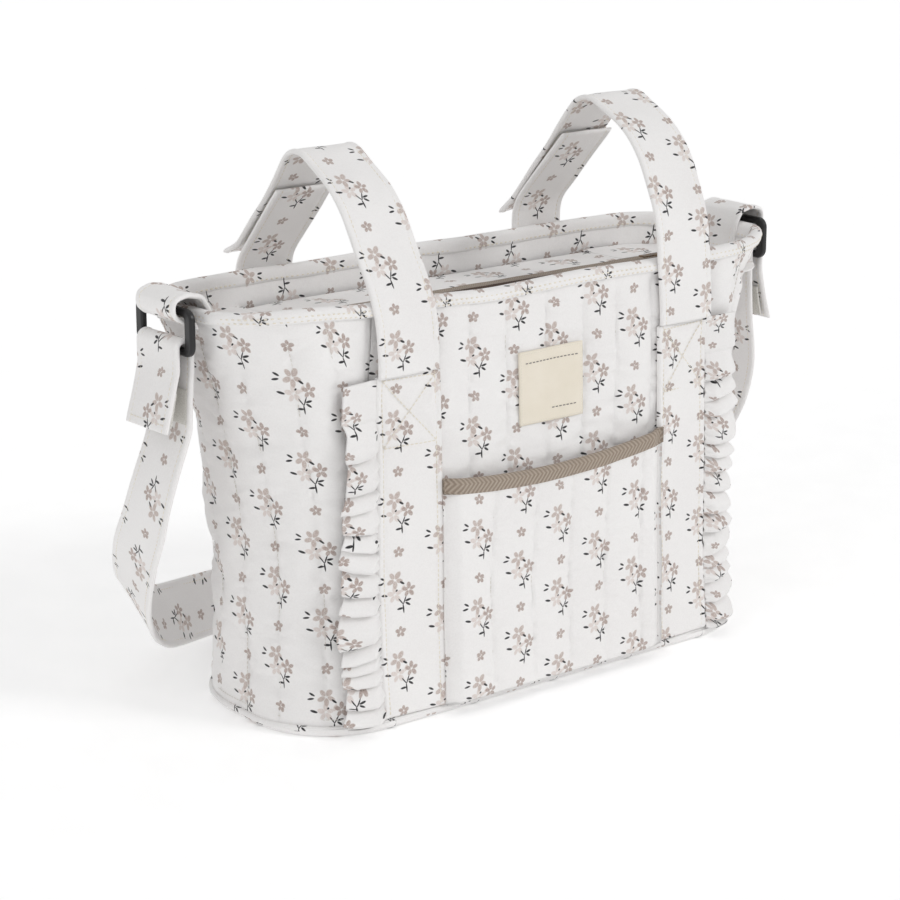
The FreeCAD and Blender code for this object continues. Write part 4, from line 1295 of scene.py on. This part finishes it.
def tab(hand, word):
    """A padded tab from inside the rim over the ring's upper bar and back to the wall."""
    line = softened(rounded_line([(hand * (RING_X + x), z) for x, z in TAB_LINE], TAB_TURNS, 1.0), 3)
    centre = np.column_stack([line[:, 0], np.full(len(line), RING_Y), line[:, 1]])
    across = np.tile([0, 1.0 * hand, 0], (len(line), 1))
    piece, threads = ribbon("ring_tab_" + word, centre, across, PRINT_TRIM, 97, TAB_WIDTH, TAB_THICK)
    put(piece, "bag", "printed_strap", "tab_" + word)
    put(threads, "bag", "printed_strap")


for hand, word in ((-1, "left"), (1, "right")):
    tab(hand, word)

STRAND = [
    # (x, y, z) of the shoulder strap's middle line from the left ring to behind the bag
    (-255.5, 9.0, 172.0), (-257.5, 22.0, 138.0), (-252.0, 46.0, 101.0), (-231.0, 78.0, 64.0),
    (-192.0, 114.0, 36.5), (-142.0, 140.0, 26.0), (-72.0, 154.0, 23.8), (0.0, 158.0, 23.5),
]
PAST_MIDDLE = (72.0, 154.0, 23.8)      # the strand's next point beyond the middle
TAIL_DROP = 50.0       # length of the folded end below the ring
TAIL_BULGE = 16.0      # how far its loose side stands out
TAIL_KNEE = 12.0
TAIL_INWARD = 2.0
TAIL_BEND = 20.0
STRAND_TOP = RING_TOP - RING_PITCH - TAIL_DROP


def strap_line():
    """The shoulder strap's middle line from its left folded end to its right one."""
    z = RING_TOP - RING_PITCH
    x = -RING_X
    r = LOOP_RADIUS
    loose = r + LOOP_SLACK
    end = rounded_line([(x - TAIL_BULGE, z - TAIL_DROP), (x - loose, z - TAIL_KNEE),
                        (x - loose, z + r + LOOP_RISE), (x + r, z + r + LOOP_CLOSE),
                        (x + r, z - TAIL_KNEE), (x + TAIL_INWARD, z - TAIL_DROP)],
                       [TAIL_BEND, r, r, TAIL_BEND], 1.0)
    end = np.column_stack([end[:, 0], np.full(len(end), RING_Y), end[:, 1]])
    knots = np.array([end[-2], end[-1]] + [np.array(point) for point in STRAND] + [PAST_MIDDLE])
    pieces = []
    for before, start, stop, after in zip(knots, knots[1:], knots[2:], knots[3:]):
        gap = np.linalg.norm(stop - start)
        leave = (stop - before) / np.linalg.norm(stop - before) * gap
        arrive = (after - start) / np.linalg.norm(after - start) * gap
        for t in np.linspace(0, 1, max(4, int(gap / 2)), endpoint=False):
            pieces.append((2 * t ** 3 - 3 * t ** 2 + 1) * start + (t ** 3 - 2 * t ** 2 + t) * leave
                          + (-2 * t ** 3 + 3 * t ** 2) * stop + (t ** 3 - t ** 2) * arrive)
    strand = softened(np.array(pieces), 10)
    half = np.concatenate([end[:-1], strand, [STRAND[-1]]])
    other = half[::-1][1:] * [-1, 1, 1]
    return np.concatenate([half, other])


def shoulder_strap():
    line = strap_line()
    ground = STRAND[-1][2]
    fallen = np.clip((STRAND_TOP - line[:, 2]) / (STRAND_TOP - ground), 0, 1)
    lean = math.pi / 2 * (1 - np.sqrt(1 - fallen ** 2))
    side = np.column_stack([np.zeros(len(line)), np.cos(lean), np.sin(lean)])
    piece, threads = ribbon("shoulder_strap_cloth", line, side, PRINT_STRAP, 99, start=(6.0, 0.0))
    put(piece, "strap", "printed_strap", "shoulder_strap")
    put(threads, "strap", "printed_strap")


shoulder_strap()


# ---- zip --------------------------------------------------------------------------------


def slab(name, x_grid, y_grid, level, half, material):
    """Level cloth: its middle's height and half its thickness at each place."""
    faces = [np.stack([x_grid, y_grid, height + 0 * x_grid], -1) for height in (level + half, level - half)]
    return shell(name, *faces, map_grid(x_grid, y_grid), material)


STRIP_SAG = 0.6        # how far a strip lies below its flat place
STRIP_SLACK = 0.9      # height of its waves
HINGE_DROP = 1.3       # how far its sewn edge turns down


def mouth_cloth(name, node, body, material, seed):
    """A flat opening strip of the mouth, slightly slack, with its sewn edge clear of the facing."""
    low, high = edges_mm(node)
    x = np.linspace(low[0], high[0], 150)
    y = np.linspace(low[1], high[1], 28)
    x_grid, y_grid = np.meshgrid(x, y)
    from_edge = np.minimum(np.minimum(x_grid - low[0], high[0] - x_grid),
                           np.minimum(y_grid - low[1], high[1] - y_grid))
    if body == "mouth_front":
        hinge_side = (high[1] - y_grid) / (high[1] - low[1])
        y_grid = y_grid + hinge_side * (0.6 + 2.6 * hump(x_grid, -10, 90))
    else:
        hinge_side = (y_grid - low[1]) / (high[1] - low[1])
        y_grid = y_grid - hinge_side * (2.6 + 1.2 * hump(x_grid, 35, 50) + 4.2 * smooth(-x_grid, 120, 148))
    slack = smooth(from_edge, 0, 14) * (STRIP_SLACK * ripple(x_grid, y_grid, 70, 50, seed) - STRIP_SAG)
    level = (low[2] + high[2]) / 2 + slack - HINGE_DROP * hinge_side ** 4
    half = (high[2] - low[2]) / 2 * rounded_edge(from_edge + 0.15, 0.8)
    piece = slab(name, x_grid, y_grid, level, half, material)
    return put(piece, body, "printed_cotton", node)


COIL_PITCH = 1.5
COIL_STEPS = 10        # points along each turn
COIL_SIDES = 5
COIL_RADIUS = 0.35     # of the nylon itself


def coil(name, node, body, hand):
    """One half of the nylon coil: a fine helix along the zip."""
    low, high = edges_mm(node)
    middle = (low + high) / 2
    turns = int((high[0] - low[0]) / COIL_PITCH)
    t = np.arange(turns * COIL_STEPS + 1) / COIL_STEPS
    x = low[0] + t * COIL_PITCH
    reach = (high - low - 2 * COIL_RADIUS) / 2
    y = middle[1] + reach[1] * np.cos(2 * math.pi * t) * hand
    z = middle[2] + reach[2] * np.sin(2 * math.pi * t)
    line = np.column_stack([x, y, z])
    heading = np.gradient(line, axis=0)
    heading /= np.linalg.norm(heading, axis=1)[:, None]
    up = np.cross(heading, [1.0, 0, 0])
    up /= np.linalg.norm(up, axis=1)[:, None]
    aside = np.cross(heading, up)
    turns = 2 * math.pi * np.arange(COIL_SIDES) / COIL_SIDES
    ring = [line + (up * math.cos(turn) + aside * math.sin(turn)) * COIL_RADIUS for turn in turns]
    piece = single(name, np.stack(ring, 1), map_grid(np.arange(COIL_SIDES + 1), x), COIL, wrap=True)
    return put(piece, body, "zip_coil", node)


def dress(node, material):
    """Give a CAD node that stays its finished material."""
    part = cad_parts[node]
    part.data.materials.clear()
    part.data.materials.append(material)


CARRIED = {
    "ring_left": PLASTIC, "ring_right": PLASTIC, "zip_slider": METAL, "zip_pull": METAL, "base_board": BOARD,
    "handle_hook_left": PILE, "handle_hook_right": PILE, "handle_loop_left": PILE, "handle_loop_right": PILE,
    "strap_hook_left": PILE, "strap_hook_right": PILE, "strap_loop_left": PILE, "strap_loop_right": PILE,
}
for node, material in CARRIED.items():
    dress(node, material)


TAPE_HALF = 0.4        # half the thickness of the zip's tape


def flat_tape(name, node, body):
    """A strip of woven zip tape."""
    low, high = edges_mm(node)
    x = np.linspace(low[0], high[0], max(8, int((high[0] - low[0]) / 2)))
    x_grid, y_grid = np.meshgrid(x, np.linspace(low[1], high[1], 12))
    level = (low[2] + high[2]) / 2 + 0.15 * ripple(x_grid, y_grid, 50, 30, 103)
    return put(slab(name, x_grid, y_grid, level, TAPE_HALF, ZIP_TAPE), body, "taupe_tape", node)


for word, hand, seed in (("front", 1, 101), ("back", -1, 102)):
    mouth_cloth("mouth_cloth_" + word, "zip_strip_" + word, "mouth_" + word, PRINT_TRIM, seed)
    coil("coil_turns_" + word, "zip_coil_" + word, "mouth_" + word, hand)
    flat_tape("zip_tape_cloth_" + word, "zip_tape_" + word, "mouth_" + word)

ZIP_LINE = 8.0
TAIL_START = 152.3
TAIL_END = 190.0
TAIL_SIDES = (-5.5, 21.5)
TAIL_SLOT_HALF = 3.0
TAIL_MARGIN = 2.0
MOUTH_LEVEL = 258.0
END_HALF = 64.5        # half the width of the fixed cloth at each end of the mouth
END_INSET = 9.6        # from the bag's outer face to that cloth's edge
END_GAP = 0.3
END_THICK = 1.1


def notched(name, hand, y, near, far, thick, slack, material):
    """Flat cloth beyond the opening; near and far are its inner and outer edges at each y."""
    t, y_grid = np.meshgrid(np.linspace(0, 1, 46), y)
    x_grid = near[:, None] + (far - near)[:, None] * t
    level = MOUTH_LEVEL + slack * ripple(x_grid, y_grid, 50, 44, 104)
    faces = [np.stack([hand * x_grid, y_grid, level + side * thick / 2], -1) for side in (1, -1)]
    return shell(name, *faces, map_grid(x_grid, y_grid), material)


def stepped(low, high, inner_low, inner_high, count):
    """Even places from low to high with a sharp step at both edges of a notch."""
    places = [low + (high - low) * i / count for i in range(count + 1)]
    for edge in (inner_low, inner_high):
        places += [edge - 0.03, edge + 0.03]
    return np.array(sorted(places))


def zip_tail(name, node, hand):
    """The tape's end: two legs beside the slider's place, joined at the far end."""
    slot = (ZIP_LINE - TAIL_SLOT_HALF, ZIP_LINE + TAIL_SLOT_HALF)
    y = stepped(*TAIL_SIDES, *slot, 16)
    in_slot = (y > slot[0]) & (y < slot[1])
    near = np.where(in_slot, TAIL_END - TAIL_MARGIN, TAIL_START)
    far = np.full(y.shape, TAIL_END)
    return put(notched(name, hand, y, near, far, 2 * TAPE_HALF, 0.0, ZIP_TAPE), "bag", "taupe_tape", node)


def mouth_end(name, node, hand):
    """The fixed cloth between the opening strips and the bag's end, with a notch for the tape."""
    notch = (TAIL_SIDES[0] - END_GAP, TAIL_SIDES[1] + END_GAP)
    y = stepped(-END_HALF, END_HALF, *notch, 68)
    w, d, f, r = (value - END_INSET for value in outline(MOUTH_LEVEL))
    front_over = np.clip(-(y + (d - f)) / f, 0, 1)
    rear_over = np.clip((y - (d - r)) / r, 0, 1)
    far = w - f * (1 - np.sqrt(1 - front_over ** 2)) - r * (1 - np.sqrt(1 - rear_over ** 2))
    near = np.where((y > notch[0]) & (y < notch[1]), TAIL_END + END_GAP, TAIL_START)
    piece = notched(name, hand, y, near, far, END_THICK, 0.35, PRINT_TRIM)
    return put(piece, "bag", "printed_cotton", node)


for hand, word in ((-1, "left"), (1, "right")):
    zip_tail("zip_tail_cloth_" + word, "zip_tail_" + word, hand)
    mouth_end("mouth_end_" + word, "zip_end_" + word, hand)


# ---- floor, light and camera ------------------------------------------------------------

FLOOR_SIZE = 60000.0
FLOOR_GLOW = 0.21      # keeps the pale floor white


def floor():
    """A plain pale floor that reaches far past the picture."""
    paint = Paint("floor_paper", 0.9, specular=0.1)
    paint.shader.inputs["Emission Color"].default_value = (1.0, 1.0, 1.0, 1.0)
    paint.shader.inputs["Emission Strength"].default_value = FLOOR_GLOW
    grain = paint.noise(30, 4)
    light, dark = linear(0.985, 0.985, 0.985), linear(0.975, 0.975, 0.975)
    colour = paint.mix(paint.soft_step(grain, 0.3, 0.7), light, dark)
    material = paint.finish(colour, [(grain, 0.0001)])
    line = np.linspace(-FLOOR_SIZE, FLOOR_SIZE, 40)
    x_grid, y_grid = np.meshgrid(line, line)
    points = np.stack([x_grid, y_grid, 0 * x_grid - 0.2], -1)
    single("studio_floor", points, map_grid(x_grid, y_grid), material)


floor()


def aim(item, place, target):
    item.location = place
    item.rotation_euler = (Vector(target) - Vector(place)).to_track_quat("-Z", "Y").to_euler()


def soft_sun(name, direction, strength, spread):
    """Broad, even light from one side, as from a very large diffuser."""
    data = bpy.data.lights.new(name, "SUN")
    data.energy = strength
    data.angle = math.radians(spread)
    lamp = bpy.data.objects.new(name, data)
    bpy.context.scene.collection.objects.link(lamp)
    aim(lamp, direction, (0, 0, 0))


LIGHTS = {
    # direction it comes from, strength, spread in degrees
    "main_diffuser": ((0.48, -0.72, 0.58), 0.62, 16),
    "left_diffuser": ((-0.90, -0.30, 0.42), 0.16, 22),
    "top_diffuser": ((-0.20, -0.30, 1.0), 0.20, 50),
}
SKY = 0.65             # strength of the even light from all round
for name, settings in LIGHTS.items():
    soft_sun(name, *settings)

world = bpy.data.worlds.new("studio")
world.use_nodes = True
world.node_tree.nodes["Background"].inputs["Color"].default_value = (1.0, 1.0, 1.0, 1.0)
world.node_tree.nodes["Background"].inputs["Strength"].default_value = SKY
bpy.context.scene.world = world

CAMERA_PLACE = Vector((-1.1017, -1.3267, 0.6233))
CAMERA_AZIMUTH = math.radians(-39.09)
CAMERA_ELEVATION = math.radians(15.45)
CAMERA_LENS = 103.6
CAMERA_SENSOR = 36.0
backwards = Vector((math.sin(CAMERA_AZIMUTH) * math.cos(CAMERA_ELEVATION),
                    -math.cos(CAMERA_AZIMUTH) * math.cos(CAMERA_ELEVATION), math.sin(CAMERA_ELEVATION)))
lens = bpy.data.cameras.new("camera")
lens.sensor_width = CAMERA_SENSOR
lens.lens = CAMERA_LENS
camera = bpy.data.objects.new("camera", lens)
camera.location = CAMERA_PLACE
camera.rotation_euler = (-backwards).to_track_quat("-Z", "Y").to_euler()
bpy.context.scene.collection.objects.link(camera)
bpy.context.scene.camera = camera
bpy.context.scene.view_settings.view_transform = "Standard"

bpy.context.view_layer.update()
